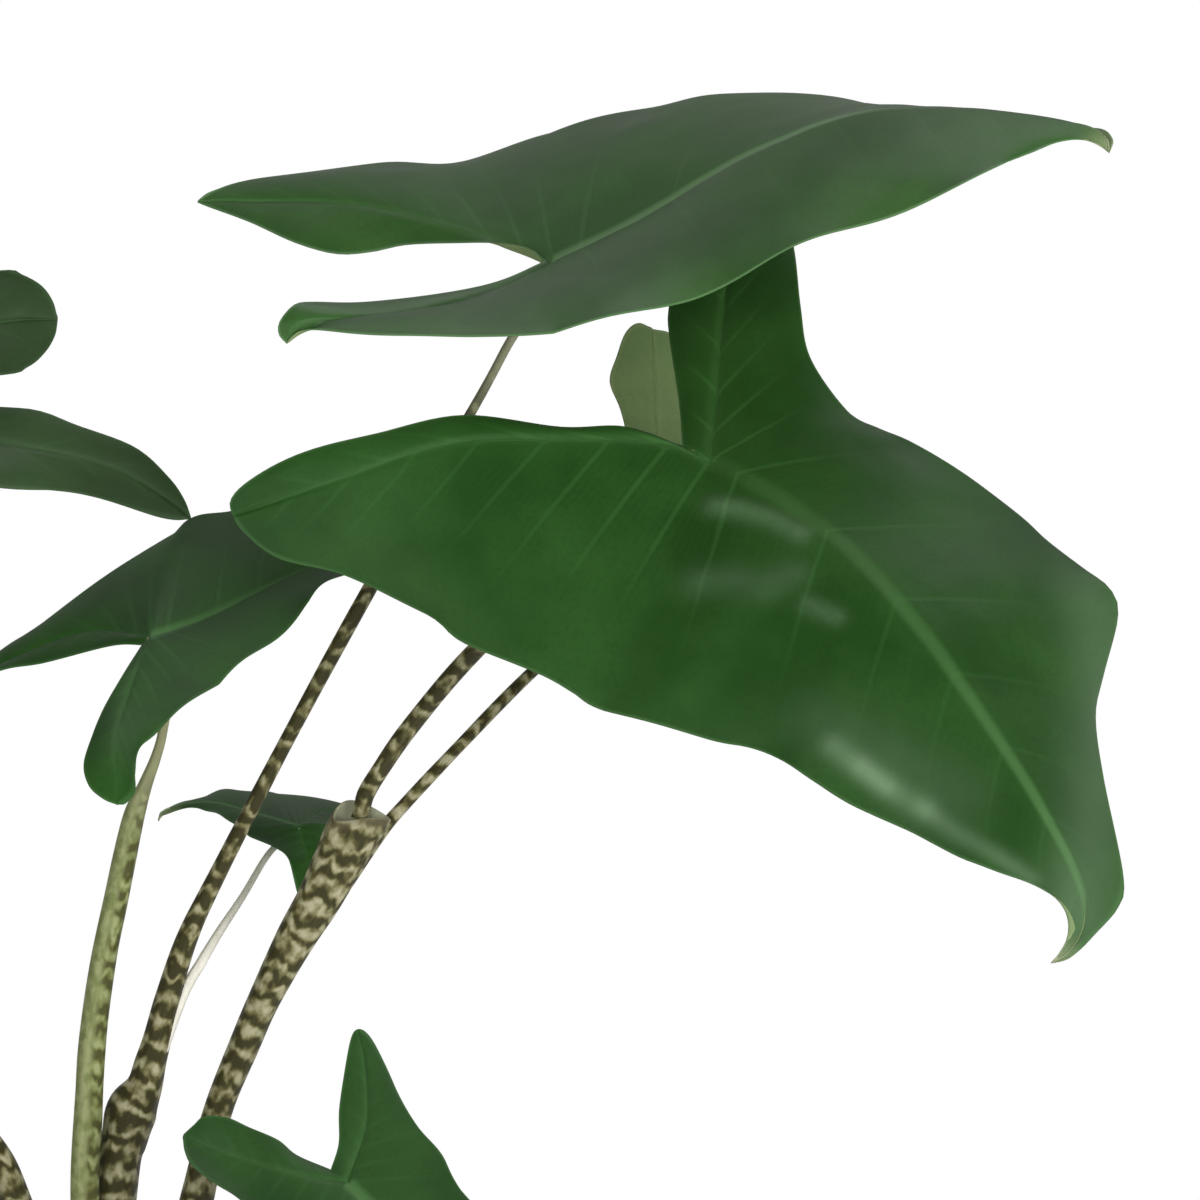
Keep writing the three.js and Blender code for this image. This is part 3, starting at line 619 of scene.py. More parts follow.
def sheet(points, shares, across, width, veins, turned):
    """A grid with its vein phase, a count that passes a half at each lateral vein, and with how far each
    point lies from the edge and how far out it is as a share."""
    at_rib, at_edge = veins
    count = np.arange(len(at_rib)) + 0.5
    from_rib, to_edge = np.interp(shares, at_rib, count), np.interp(shares, at_edge, count)
    return {
        "points": points,
        "phase": from_rib[:, None] * (1 - across) + to_edge[:, None] * across,
        "edge": width * (1 - across),
        "across": np.broadcast_to(across, points.shape[:2]),
        "turned": turned,
    }


def half_blade(leaf, side):
    """A half's two sheets, from the leaf's tip to the lobe's and inside the lobe, and the lobe's rib."""
    half = leaf[side]
    lobe_tip = half["rib"][-1]
    midrib = smooth([leaf["junction"], *leaf["midrib"]])
    rib = smooth([leaf["junction"], *half["rib"]])
    outer = smooth([leaf["midrib"][-1], *half["outer"], lobe_tip])
    inner = smooth([leaf["notch"], *half["inner"], lobe_tip])
    split = CURVE_STEPS * (half["shoulder"] + 1)
    front_shares, lobe_shares = crowded(FRONT_ROWS), crowded(LOBE_ROWS)
    across, inner_across = crowded(BLADE_COLUMNS), crowded(INNER_COLUMNS)
    front, front_width = patch(midrib, outer[split::-1], front_shares, across, leaf, FRONT_WAVES)
    lobe, lobe_width = patch(rib, outer[split:], lobe_shares, across, leaf, LOBE_WAVES)
    inside, inside_width = patch(rib, inner, lobe_shares, inner_across, leaf, 0)
    outside = soften(np.concatenate([front[::-1], lobe[1:]]), across)
    shares = np.r_[front_shares[::-1], -lobe_shares[1:]]
    width = np.concatenate([front_width[::-1], lobe_width[1:]])
    right = side == "right_half"
    sheets = [
        sheet(outside, shares, across, width, OUTER_VEINS, not right),
        sheet(inside, lobe_shares, inner_across, inside_width, INNER_VEINS, right),
    ]
    return sheets, rib


def weld(sheets):
    """One sheet of them all: its points, its faces, and the least of each value at a shared point."""
    points = np.concatenate([part["points"].reshape(-1, 3) for part in sheets])
    _, first, number = np.unique(np.round(points, 4), axis=0, return_index=True, return_inverse=True)
    number = number.reshape(-1)
    values = {}
    for key in ("phase", "edge", "across"):
        value = np.concatenate([part[key].reshape(-1) for part in sheets])
        least = np.full(len(first), np.inf)
        np.minimum.at(least, number, value)
        values[key] = least
    faces, offset = [], 0
    for part in sheets:
        rows, columns = part["points"].shape[:2]
        ids = number[offset:offset + rows * columns].reshape(rows, columns)
        offset += rows * columns
        corners = [ids[:-1, :-1], ids[1:, :-1], ids[1:, 1:], ids[:-1, 1:]]
        quads = np.stack(corners[::-1] if part["turned"] else corners, axis=-1).reshape(-1, 4)
        corners = [tuple(dict.fromkeys(quad)) for quad in quads.tolist()]
        faces += [face for face in corners if len(face) > 2]
    return points[first], faces, values


def triangles_of(faces):
    """The faces cut into triangles."""
    return np.array([(face[0], *face[k:k + 2]) for face in faces for k in range(1, len(face) - 1)])


def point_normals(points, triangles):
    """The direction square to the surface at each point."""
    corners = points[triangles]
    square = np.cross(corners[:, 1] - corners[:, 0], corners[:, 2] - corners[:, 0])
    normals = np.zeros_like(points)
    for k in range(3):
        np.add.at(normals, triangles[:, k], square)
    return unit(normals)


def vein_spacing(points, triangles, phase):
    """How many millimetres lie between lateral veins round each point."""
    a, b, c = (points[triangles[:, k]] for k in range(3))
    one, two = b - a, c - a
    normal = np.cross(one, two)
    area = np.maximum(np.linalg.norm(normal, axis=1), 1e-9)
    uphill = (phase[triangles[:, 1]] - phase[triangles[:, 0]])[:, None] * np.cross(two, normal)
    uphill = uphill + (phase[triangles[:, 2]] - phase[triangles[:, 0]])[:, None] * np.cross(normal, one)
    slope = np.linalg.norm(uphill, axis=1) / area**2
    total, weight = np.zeros(len(points)), np.zeros(len(points))
    for k in range(3):
        np.add.at(total, triangles[:, k], slope * area)
        np.add.at(weight, triangles[:, k], area)
    return np.clip(weight / np.maximum(total, 1e-9), 3, 60)


def boundary(faces):
    """The edges that only one face has, in that face's direction."""
    edges = {}
    for face in faces:
        for a, b in zip(face, face[1:] + face[:1]):
            if edges.pop((b, a), None) is None:
                edges[(a, b)] = True
    return list(edges)


def nearest_rib(points, midrib, lobe_ribs, leaf, size):
    """How far each point lies from the nearest rib, counted in that rib's own half width, how clearly that
    rib shows there, and how far its keel stands out."""
    nearest = np.full(len(points), np.inf)
    seen, keel = np.zeros(len(points)), np.zeros(len(points))
    for run, (half_width, depth) in [(midrib, MIDRIB), *((rib, LOBE_RIB) for rib in lobe_ribs)]:
        distance, share = from_run(points, run)
        shown = LOBE_RIB_SEEN
        if run is midrib:
            risen = ramp(share, *leaf.get("rib_rises", (-0.2, -0.1)))
            shown = LOW_MIDRIB_SEEN + (1 - LOW_MIDRIB_SEEN) * risen
            shown *= 1 - ramp(share, *leaf.get("rib_fades", (0.75, 1.1)))
        taper = size * ((1 - share) ** 0.7 * (1 - RIB_TIP_SHARE) + RIB_TIP_SHARE)
        count = distance / (half_width * taper)
        seen = np.where(count < nearest, shown, seen)
        nearest = np.minimum(nearest, count)
        keel = np.maximum(keel, depth * taper * np.sqrt(np.clip(1 - (count / 1.3) ** 2, 0, 1)))
    return nearest, seen, keel


def blade(name, leaf, upper, under):
    """A blade with its veins pressed in above and standing out as keels below, and the direction of its upper
    side at the junction."""
    halves = [half_blade(leaf, side) for side in ("right_half", "left_half")]
    points, faces, values = weld([part for sheets, _ in halves for part in sheets])
    face = unit(np.array(leaf["face"], float))
    triangles = triangles_of(faces)
    normals = point_normals(points, triangles)
    if normals.sum(axis=0) @ face < 0:
        faces = [corners[::-1] for corners in faces]
        normals = -normals
    phase, edge, across = values["phase"], values["edge"], values["across"]
    spacing = vein_spacing(points, triangles, phase)
    midrib = smooth([leaf["junction"], *leaf["midrib"]])
    size = lengths_to(midrib)[-1] / FULL_LEAF
    ribs, seen, keel = nearest_rib(points, midrib, [rib for _, rib in halves], leaf, size)

    # The blade swells between its veins and gently all over, but not at its ribs and its edge.
    pillow = np.sin(np.pi * np.abs(phase - np.floor(phase) - 0.5)) ** 0.8
    room = ramp(across, 0.02, 0.3) * (1 - ramp(across, 0.72, 0.97)) * np.clip(spacing / QUILT_SPACING, 0, 1)
    seed = len(name) + leaf["junction"][0]
    swell = sum(height * drift(points, width, seed + k) for k, (height, width) in enumerate(SWELLS))
    swell = with_strokes(swell * size * ramp(edge, 1, 14), points, face, leaf.get("swells", []))
    lift = (QUILT * size * pillow * room + swell)[:, None] * normals
    half_thickness = (EDGE_THICKNESS + (BLADE_THICKNESS - EDGE_THICKNESS) * ramp(edge, 0, EDGE_BAND)) / 2
    furrow = FURROW * size * hump(ribs, 1.2)
    top = points + lift + (half_thickness - furrow)[:, None] * normals
    bottom = points + lift - (half_thickness + keel)[:, None] * normals

    # Both skins are closed along the edge, and the rim belongs to the upper one.
    count = len(points)
    solid = list(faces)
    solid += [tuple(number + count for number in corners[::-1]) for corners in faces]
    solid += [(b, a, a + count, b + count) for a, b in boundary(faces)]
    skins = [0] * len(faces) + [1] * len(faces) + [0] * (len(solid) - 2 * len(faces))
    junction = np.array(leaf["junction"], float)
    from_junction = np.linalg.norm(points - junction, axis=1)
    clear = FAR_VEINS_SEEN + (1 - FAR_VEINS_SEEN) * hump(from_junction, FAN * size)
    # A painted sheen: a pale veil over the whole blade that stands in for reflected light.
    wax = np.full(count, float(leaf.get("wax", 0)))
    shown = {
        "vein_phase": phase,
        "vein_spacing": spacing,
        "rib_distance": np.minimum(ribs, 12),
        "margin_distance": edge,
        "tip_distance": np.linalg.norm(points - np.array(leaf["midrib"][-1], float), axis=1),
        "rib_seen": seen,
        "vein_strength": leaf.get("veins", 1) * (1 - ramp(across, 0.15, 0.9)) * clear,
        # Painted sheen and painted highlights, laid over the blade as a share of a pale colour.
        "painted_sheen_and_highlights": with_strokes(wax, points, face, leaf.get("painted_highlights", [])),
    }
    shown = {key: np.tile(value, 2) for key, value in shown.items()}
    piece = new_piece(f"leaf_blade_{name}", np.vstack([top, bottom]), solid, [upper, under], skins, shown)
    stand_for(piece, f"blade_{name}")
    return normals[np.argmin(from_junction)]


# Stalks

ROUND = np.linspace(0, FULL_TURN, STALK_SIDES, endpoint=False)


def sweep(points, sizes):
    """A spline's points at even steps of length, their directions, two directions square to each, turned
    along with the stalk from a start at +X, the radius and depth there, and the length gone."""
    fine = np.linspace(0, len(points) - 1, 60 * (len(points) - 1) + 1)
    gone = lengths_to(spline_at(points, fine)[0])
    steps = np.linspace(0, gone[-1], int(gone[-1] / RING_SPACING) + 1)
    spots = np.interp(steps, gone, fine)
    centres, headings = spline_at(points, spots)
    radii, _ = spline_at([(radius, depth, 0) for radius, depth in sizes], spots)
    across = np.array([1.0, 0.0, 0.0])
    sideways = []
    for heading in headings:
        across = unit(across - (across @ heading) * heading)
        sideways.append(across)
    sideways = np.array(sideways)
    return centres, headings, sideways, np.cross(headings, sideways), radii, steps


def ring_points(centres, sideways, deep, reach, depth):
    """Rings of points round centres, as far out as their reach says and flattened front to back by depth."""
    offsets = reach[..., None] * (
        np.cos(ROUND)[None, :, None] * sideways[:, None] + np.sin(ROUND)[None, :, None] * deep[:, None]
    )
    offsets[..., 1] *= depth[:, None]
    return centres[:, None] + offsets


def tube_faces(rings, first):
    """The faces of a closed tube of rings, with both of its ends closed."""
    faces = []
    for ring in range(first, first + (rings - 1) * STALK_SIDES, STALK_SIDES):
        for k in range(STALK_SIDES):
            a, b = ring + k, ring + (k + 1) % STALK_SIDES
            faces.append((a, b, b + STALK_SIDES, a + STALK_SIDES))
    last = first + (rings - 1) * STALK_SIDES
    faces.append(tuple(range(first, first + STALK_SIDES))[::-1])
    faces.append(tuple(range(last, last + STALK_SIDES)))
    return faces


def chart_of(radii, steps):
    """Where each point lies on the stalk straightened out: across it, from front to back, and along it."""
    out, gone = radii[:, None], steps[:, None]
    return np.stack([np.cos(ROUND) * out, np.sin(ROUND) * out, gone + 0 * ROUND], axis=-1)


def sheath(points, sizes, mouth):
    """The sheath round a stalk's foot: a tube that opens at its mouth, with a rolled lip cut down in a V on
    one side and a wall inside it. Below the V one edge overlaps the other in a long fold."""
    centres, headings, sideways, deep, radii, steps = sweep(points, sizes)
    low = math.radians(mouth["low"])
    from_low = np.degrees(np.abs((ROUND - low + np.pi) % FULL_TURN - np.pi))
    fold = np.mod(ROUND - low, FULL_TURN)
    lap = LAP * np.exp(-fold / 0.8) * (1 - np.exp(-fold / 0.05))
    wobble = WOBBLE * drift(centres, 18, len(points))[:, None]
    waves = 0.02 * ramp(steps, steps[-1] - 10, steps[-1])[:, None] * np.sin(3 * ROUND + 1)
    reach = radii[:, :1] * (1 + lap + wobble + waves)

    # The lip rolls over the wall's thickness, and the wall goes back down inside.
    roll = np.radians([45, 90, 135, 180])
    down = np.arange(1, SHEATH_INSIDE, 2)
    outside, top = np.arange(len(steps)), len(steps) - 1
    way = np.r_[outside, np.full(len(roll), top), top - down]
    inset = np.r_[0.0 * outside, (1 - np.cos(roll)) * SHEATH_WALL / 2, np.full(len(down), SHEATH_WALL)]
    raised = np.r_[0.0 * outside, np.sin(roll) * SHEATH_WALL / 2, 0.0 * down]
    near_mouth = ramp(steps[way], steps[-1] - 3 * mouth["depth"], steps[-1])
    drop = -mouth["depth"] * hump(from_low, mouth["spread"]) * near_mouth[:, None]
    rings = ring_points(centres[way], sideways[way], deep[way], reach[way] - inset[:, None], radii[way, 1])
    rings += (drop + raised[:, None])[..., None] * headings[way, None]
    chart = chart_of(radii[way, 0], steps[way])
    chart[..., 2] += drop
    inside = np.r_[0.0 * outside, np.linspace(0.3, 0.9, len(roll)), np.ones(len(down))]
    lip = np.r_[ramp(steps, steps[-1] - 5, steps[-1] - 1), np.ones(len(roll)), 0.0 * down]
    return rings, chart, inside, lip


def stalk(name, leaf, seat, material):
    """A leaf's stalk, and the sheath that its foot stands in."""
    points = [np.array(point[:3], float) for point in leaf["stalk"]]
    sizes = [(point[3], point[4] if len(point) > 4 else 1) for point in leaf["stalk"]]
    junction = np.array(leaf["junction"], float)
    points += [junction - seat * drop for drop in (NECK_LENGTH, BLADE_THICKNESS / 2)]
    sizes += [(sizes[-1][0], 1), (NECK_TIP_RADIUS, 1)]
    shells, gone = [], 0
    mouth = leaf.get("mouth")
    if mouth:
        end = mouth["at"] + 1
        shells.append(sheath(points[:end], sizes[:end], mouth))
        gone = shells[0][1][..., 2].max() - STALK_START
        foot = points[end] + (points[end - 2] - points[end]) * 0.8
        points = [foot, (foot + points[end]) / 2, *points[end:]]
        sizes = [(sizes[end][0] * 0.9, 1), (sizes[end][0] * 0.95, 1), *sizes[end:]]
    centres, _, sideways, deep, radii, steps = sweep(points, sizes)
    flute = FLUTE * np.cos(FLUTES * ROUND)[None, :]
    wobble = WOBBLE * drift(centres, 16, len(name))[:, None]
    rings = ring_points(centres, sideways, deep, radii[:, :1] * (1 + flute + wobble), radii[:, 1])
    none = np.zeros(len(steps))
    shells.append((rings, chart_of(radii[:, 0], steps + gone), none, none))
    faces, first = [], 0
    for shell in shells:
        faces += tube_faces(len(shell[0]), first)
        first += len(shell[0]) * STALK_SIDES
    points, chart, inside, lip = (np.concatenate(parts) for parts in zip(*shells))
    chart = chart.reshape(-1, 3)
    values = {
        "stalk_chart": chart,
        "facing_side": np.tile(np.cos(ROUND), len(inside)),
        "below_blade": steps[-1] + gone - chart[:, 2],
        "mark_shift": np.full(len(chart), float(leaf.get("marks", 0))),
        "sheath_inside": np.repeat(inside, STALK_SIDES),
        "sheath_lip": np.repeat(lip, STALK_SIDES),
    }
    piece = new_piece(f"leaf_stalk_{name}", points.reshape(-1, 3), faces, [material], None, values)
    stand_for(piece, f"stalk_{name}")


# Pot, soil and corm


def start(make, **settings):
    """A new primitive as the only selected object."""
    bpy.ops.object.select_all(action="DESELECT")
    make(**settings)
    return bpy.context.object


def finish_editing(piece, name, material):
    """The piece out of edit mode, named and finished, with its place in its mesh."""
    bpy.ops.object.mode_set(mode="OBJECT")
    piece.name = piece.data.name = name
    piece.data.materials.clear()
    piece.data.materials.append(material)
    bpy.ops.object.transform_apply(location=True, rotation=True, scale=True)


def pot_outside(height):
    """The radius of the pot's outside at a height, without its collar."""
    return POT_BASE_RADIUS + (POT_TOP_RADIUS - POT_BASE_RADIUS) * height / POT_HEIGHT


def arc(radius, height, reach, first, last):
    """Points on a round edge about a centre, as radius and height, between two angles in degrees."""
    turns = np.radians(np.linspace(first, last, 5))
    return [(radius + reach * math.cos(turn), height + reach * math.sin(turn)) for turn in turns]


def clay_pot(material):
    """A pot drawn up from its base by extruding, over its rolled rim and down to its floor inside."""
    collar = POT_HEIGHT - POT_RIM_HEIGHT
    rim = pot_outside(POT_HEIGHT) + POT_RIM_PROUD
    inside = pot_outside(POT_HEIGHT) - POT_WALL
    ease = POT_EASE
    stations = [
        *arc(POT_BASE_RADIUS - ease, ease, ease, -90, 0),
        (pot_outside(collar * 0.5), collar * 0.5),
        (pot_outside(collar), collar),
        *arc(pot_outside(collar) + POT_RIM_PROUD - ease / 2, collar + ease, ease / 2, -80, 0),
        *arc(rim - ease, POT_HEIGHT - ease, ease, 0, 90),
        *arc(inside + ease, POT_HEIGHT - ease, ease, 90, 180),
        (pot_outside(POT_FLOOR) - POT_WALL, POT_FLOOR),
    ]
    radius, height = POT_BASE_RADIUS - ease, 0
    piece = start(
        bpy.ops.mesh.primitive_circle_add, vertices=POT_SEGMENTS, radius=radius * MM, fill_type="NGON"
    )
    bpy.ops.object.mode_set(mode="EDIT")
    for wider, higher in stations[1:]:
        bpy.ops.mesh.extrude_region_move(TRANSFORM_OT_translate={"value": (0, 0, (higher - height) * MM)})
        share = wider / radius
        bpy.ops.transform.resize(value=(share, share, 1), center_override=(0, 0, higher * MM))
        radius, height = wider, higher
    bpy.ops.mesh.select_all(action="SELECT")
    bpy.ops.mesh.normals_make_consistent(inside=False)
    finish_editing(piece, "clay_pot", material)
    drills = []
    for k in range(DRAIN_HOLES):
        turn = FULL_TURN * (k + 0.5) / DRAIN_HOLES
        place = (DRAIN_RING * math.cos(turn) * MM, DRAIN_RING * math.sin(turn) * MM, 0)
        drills.append(start(
            bpy.ops.mesh.primitive_cylinder_add, vertices=32, radius=DRAIN_RADIUS * MM,
            depth=3 * POT_FLOOR * MM, location=place
        ))
        hole = piece.modifiers.new("drain", "BOOLEAN")
        hole.object = drills[-1]
        hole.operation = "DIFFERENCE"
        hole.solver = "EXACT"
    bpy.context.view_layer.objects.active = piece
    for hole in list(piece.modifiers):
        bpy.ops.object.modifier_apply(modifier=hole.name)
    for drill in drills:
        bpy.data.objects.remove(drill)
    bpy.ops.object.select_all(action="DESELECT")
    piece.select_set(True)
    bpy.ops.object.shade_smooth_by_angle(angle=math.radians(40))
    stand_for(piece, "pot")


def soil_height(radius):
    """The height of the soil at a distance from the pot's axis."""
    return SOIL_TOP + SOIL_MOUND * (1 - ramp(radius, 8, SOIL_MOUND_RADIUS + 22))


def potting_soil(material):
    """A round of soil whose top is inset ring by ring, then roughened in lumps of three sizes."""
    radius = pot_outside(SOIL_TOP) - POT_WALL - SOIL_GAP
    base = pot_outside(POT_FLOOR) - POT_WALL - SOIL_GAP
    bottom = POT_FLOOR + SOIL_GAP
    piece = start(
        bpy.ops.mesh.primitive_cone_add, vertices=SOIL_SEGMENTS, radius1=base * MM, radius2=radius * MM,
        depth=(SOIL_TOP - bottom) * MM, location=(0, 0, (SOIL_TOP + bottom) / 2 * MM)
    )
    bpy.ops.object.mode_set(mode="EDIT")
    bpy.ops.mesh.select_all(action="DESELECT")
    bpy.ops.object.mode_set(mode="OBJECT")
    top = max(piece.data.polygons, key=lambda face: face.center.z)
    top.select = True
    bpy.ops.object.mode_set(mode="EDIT")
    for _ in range(int(radius / SOIL_RING) - 2):
        bpy.ops.mesh.inset(thickness=SOIL_RING * MM, depth=0)
    bpy.ops.mesh.select_all(action="DESELECT")
    finish_editing(piece, "potting_soil", material)
    for vertex in piece.data.vertices:
        place = vertex.co / MM
        reach = math.hypot(place.x, place.y)
        if place.z > SOIL_TOP - 1 and reach < radius - 1:
            lump = sum(height * noise.noise(place / size) for height, size in SOIL_LUMPS)
            vertex.co.z = (soil_height(reach) + lump * min(1, (radius - reach) / 6)) * MM
    piece.data.shade_smooth()
    stand_for(piece, "soil")


def crumbs(name, count, sizes, material):
    """Loose crumbs on the soil, each a roughened ball of a few faces, joined as one piece."""
    ball = start(bpy.ops.mesh.primitive_ico_sphere_add, subdivisions=1, radius=1)
    shape = np.array([vertex.co for vertex in ball.data.vertices])
    sides = [tuple(face.vertices) for face in ball.data.polygons]
    bpy.data.objects.remove(ball)
    rim = pot_outside(SOIL_TOP) - POT_WALL - 4
    points, faces = [], []
    while len(points) < count:
        reach = rim * math.sqrt(random.random())
        if reach < CORM_RADIUS * 0.55:
            continue
        turn = random.uniform(0, FULL_TURN)
        size = random.uniform(*sizes)
        stretch = [random.uniform(low, high) for low, high in ((0.7, 1.3), (0.7, 1.3), (0.45, 0.8))]
        lumpy = shape * (np.array(stretch) * size) * np.array([[random.uniform(0.75, 1.2)] for _ in shape])
        place = np.array([reach * math.cos(turn), reach * math.sin(turn), soil_height(reach) + size * 0.15])
        faces += [tuple(number + len(points) * len(shape) for number in side) for side in sides]
        points.append(lumpy + place)
    piece = new_piece(name, np.vstack(points), faces, [material])
    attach(piece, "root")


def corm(material):
    """The corm's shoulders, ringed by old leaf scars and rough with dry fibres."""
    half = (CORM_TOP - CORM_BOTTOM) / 2
    level = (CORM_TOP + CORM_BOTTOM) / 2
    place = (0, 0, level * MM)
    piece = start(bpy.ops.mesh.primitive_uv_sphere_add, segments=96, ring_count=72, radius=1, location=place)
    bpy.ops.transform.resize(value=(CORM_RADIUS * MM, CORM_RADIUS * MM, half * MM))
    bpy.ops.object.transform_apply(location=True, rotation=True, scale=True)
    for vertex in piece.data.vertices:
        place = vertex.co / MM
        outward = (place - Vector((0, 0, level))).normalized()
        ring = 0.5 * math.sin(place.z * 2.1 + 1.2 * noise.noise(place / 18))
        fibre = 0.5 * noise.noise(Vector((place.x / 1.6, place.y / 1.6, place.z / 9)))
        vertex.co = (place + outward * (ring + fibre - 0.6)) * MM
    piece.name = piece.data.name = "corm_skin"
    piece.data.materials.append(material)
    piece.data.shade_smooth()
    stand_for(piece, "corm")


# Materials


def colour(code):
    """An sRGB hex value as linear red, green and blue, with full cover."""
    parts = [int(code[k:k + 2], 16) / 255 for k in (1, 3, 5)]
    return (*[part / 12.92 if part <= 0.04045 else ((part + 0.055) / 1.055) ** 2.4 for part in parts], 1.0)


def output_of(source):
    """A node's first output in use, or with a name the output of that name."""
    if isinstance(source, tuple):
        return source[0].outputs[source[1]]
    return next(output for output in source.outputs if output.enabled)


def add(tree, kind, inputs=None, stops=None, **settings):
    """A node with its settings, its colour stops and its inputs. An input given as a node, or as a node and
    the name of an output, is linked, and any other is a plain value."""
    node = tree.nodes.new("ShaderNode" + kind)
    for key, value in settings.items():
        setattr(node, key, value)
    if stops:
        elements = node.color_ramp.elements
        while len(elements) < len(stops):
            elements.new(1.0)
        for element, (place, code) in zip(elements, stops):
            element.position, element.color = place, colour(code)
    for key, value in (inputs or {}).items():
        source = value[0] if isinstance(value, tuple) else value
        if isinstance(source, bpy.types.Node):
            tree.links.new(output_of(value), node.inputs[key])
        else:
            node.inputs[key].default_value = value
    return node


def rise(value, low, high, bottom=0.0, top=1.0):
    """The inputs of a Map Range node that goes from one value to another."""
    return {"Value": value, "From Min": low, "From Max": high, "To Min": bottom, "To Max": top}


SOFTLY = {"interpolation_type": "SMOOTHSTEP"}
COLOURS = {"data_type": "RGBA"}
FACTOR, FIRST, SECOND = 0, 6, 7


def new_material(name, roughness):
    """A material with an empty tree but for its shader."""
    material = bpy.data.materials.new(name)
    material.use_nodes = True
    tree = material.node_tree
    tree.nodes.clear()
    shader = add(tree, "BsdfPrincipled", {"Roughness": roughness, "IOR": 1.45})
    add(tree, "OutputMaterial", {"Surface": shader})
    return material, tree, shader


def finish_material(tree, shader, skin, layers, height, strength, depth):
    """The shader takes the skin under its layers of colour, and a relief with its depth in millimetres."""
    for share, code in layers:
        skin = add(tree, "Mix", {FACTOR: share, FIRST: skin, SECOND: colour(code)}, **COLOURS)
    relief = add(tree, "Bump", {"Height": height, "Strength": strength, "Distance": depth * MM})
    tree.links.new(output_of(skin), shader.inputs["Base Color"])
    tree.links.new(relief.outputs[0], shader.inputs["Normal"])


def vein_lines(tree, lines, half_width):
    """1 on the lateral veins, or with more lines also on finer ones between them, and 0 beside them."""
    phase = (add(tree, "Attribute", attribute_name="vein_phase"), "Fac")
    spacing = (add(tree, "Attribute", attribute_name="vein_spacing"), "Fac")
    count = add(tree, "Math", {0: phase, 1: lines, 2: (lines - 1) / 2}, operation="MULTIPLY_ADD")
    share = add(tree, "Math", {0: count}, operation="FRACT")
    away = add(tree, "Math", {0: share, 1: 0.5}, operation="SUBTRACT")
    away = add(tree, "Math", {0: away}, operation="ABSOLUTE")
    away = add(tree, "Math", {0: away, 1: spacing}, operation="MULTIPLY")
    edge = half_width * lines
    return add(tree, "MapRange", rise(away, edge * 0.3, edge, 1, 0), **SOFTLY)


def leaf_material(
    name, deep, fresh, dark, vein, rib, tip="#8E9872", bloom="#9DBB96", roughness=0.42, strength=0.3
):
    """A living leaf with its own waxy cuticle. It gives the eye an even green that is never flat: mottled in
    patches of some centimetres, paler along its ribs, veins and edge, with a soft gloss, and with a painted
    sheen and painted highlights, pale colour that stands in for gloss."""
    material, tree, shader = new_material(name, roughness)
    place = (add(tree, "TexCoord"), "Object")
    patches = add(tree, "TexNoise", {"Vector": place, "Scale": LEAF_PATCHES, "Detail": 3})
    cells = add(tree, "TexNoise", {"Vector": place, "Scale": LEAF_CELLS, "Detail": 2})
    names = ("margin_distance", "tip_distance", "rib_distance", "rib_seen", "vein_strength", "painted_sheen_and_highlights")
    margin, end, ribs, seen, clear, painted_shine = (
        (add(tree, "Attribute", attribute_name=attribute), "Fac") for attribute in names
    )
    veins = add(tree, "Math", {0: vein_lines(tree, 1, 1.2), 1: clear}, operation="MULTIPLY")
    threads = add(tree, "Math", {0: vein_lines(tree, 7, 0.4), 1: clear}, operation="MULTIPLY")
    ridge = add(tree, "MapRange", rise(ribs, 0.4, 2.4, 0.65, 0), **SOFTLY)
    skin = add(tree, "ValToRGB", {"Fac": patches}, stops=[(0.38, deep), (0.66, fresh)])
    layers = [
        (add(tree, "MapRange", rise(cells, 0.45, 0.7, 0, 0.25), **SOFTLY), dark),
        (add(tree, "MapRange", rise(ribs, 0.6, 7, 0.3, 0), **SOFTLY), fresh),
        (add(tree, "MapRange", rise(threads, 0, 1, 0, 0.04)), vein),
        (add(tree, "MapRange", rise(veins, 0, 1, 0, 0.18)), vein),
        (add(tree, "Math", {0: ridge, 1: seen}, operation="MULTIPLY"), rib),
        # Painted highlight and painted sheen: a pale colour laid where gloss would catch the light.
        (add(tree, "MapRange", rise(painted_shine, 0, 1)), bloom),
        (add(tree, "MapRange", rise(margin, 0.2, 1.1, 0.3, 0), **SOFTLY), rib),
        (add(tree, "MapRange", rise(end, 1.5, 14, 0.6, 0), **SOFTLY), tip),
    ]
    gloss = add(tree, "MapRange", rise(patches, 0.3, 0.7, roughness - 0.05, roughness + 0.06))
    tree.links.new(gloss.outputs[0], shader.inputs["Roughness"])
    lines = add(tree, "Math", {0: threads, 1: 0.12, 2: veins}, operation="MULTIPLY_ADD")
    height = add(tree, "Math", {0: cells, 1: 0.3, 2: 0}, operation="MULTIPLY_ADD")
    height = add(tree, "Math", {0: height, 1: lines}, operation="SUBTRACT")
    finish_material(tree, shader, skin, layers, height, strength, 0.35)
    return material


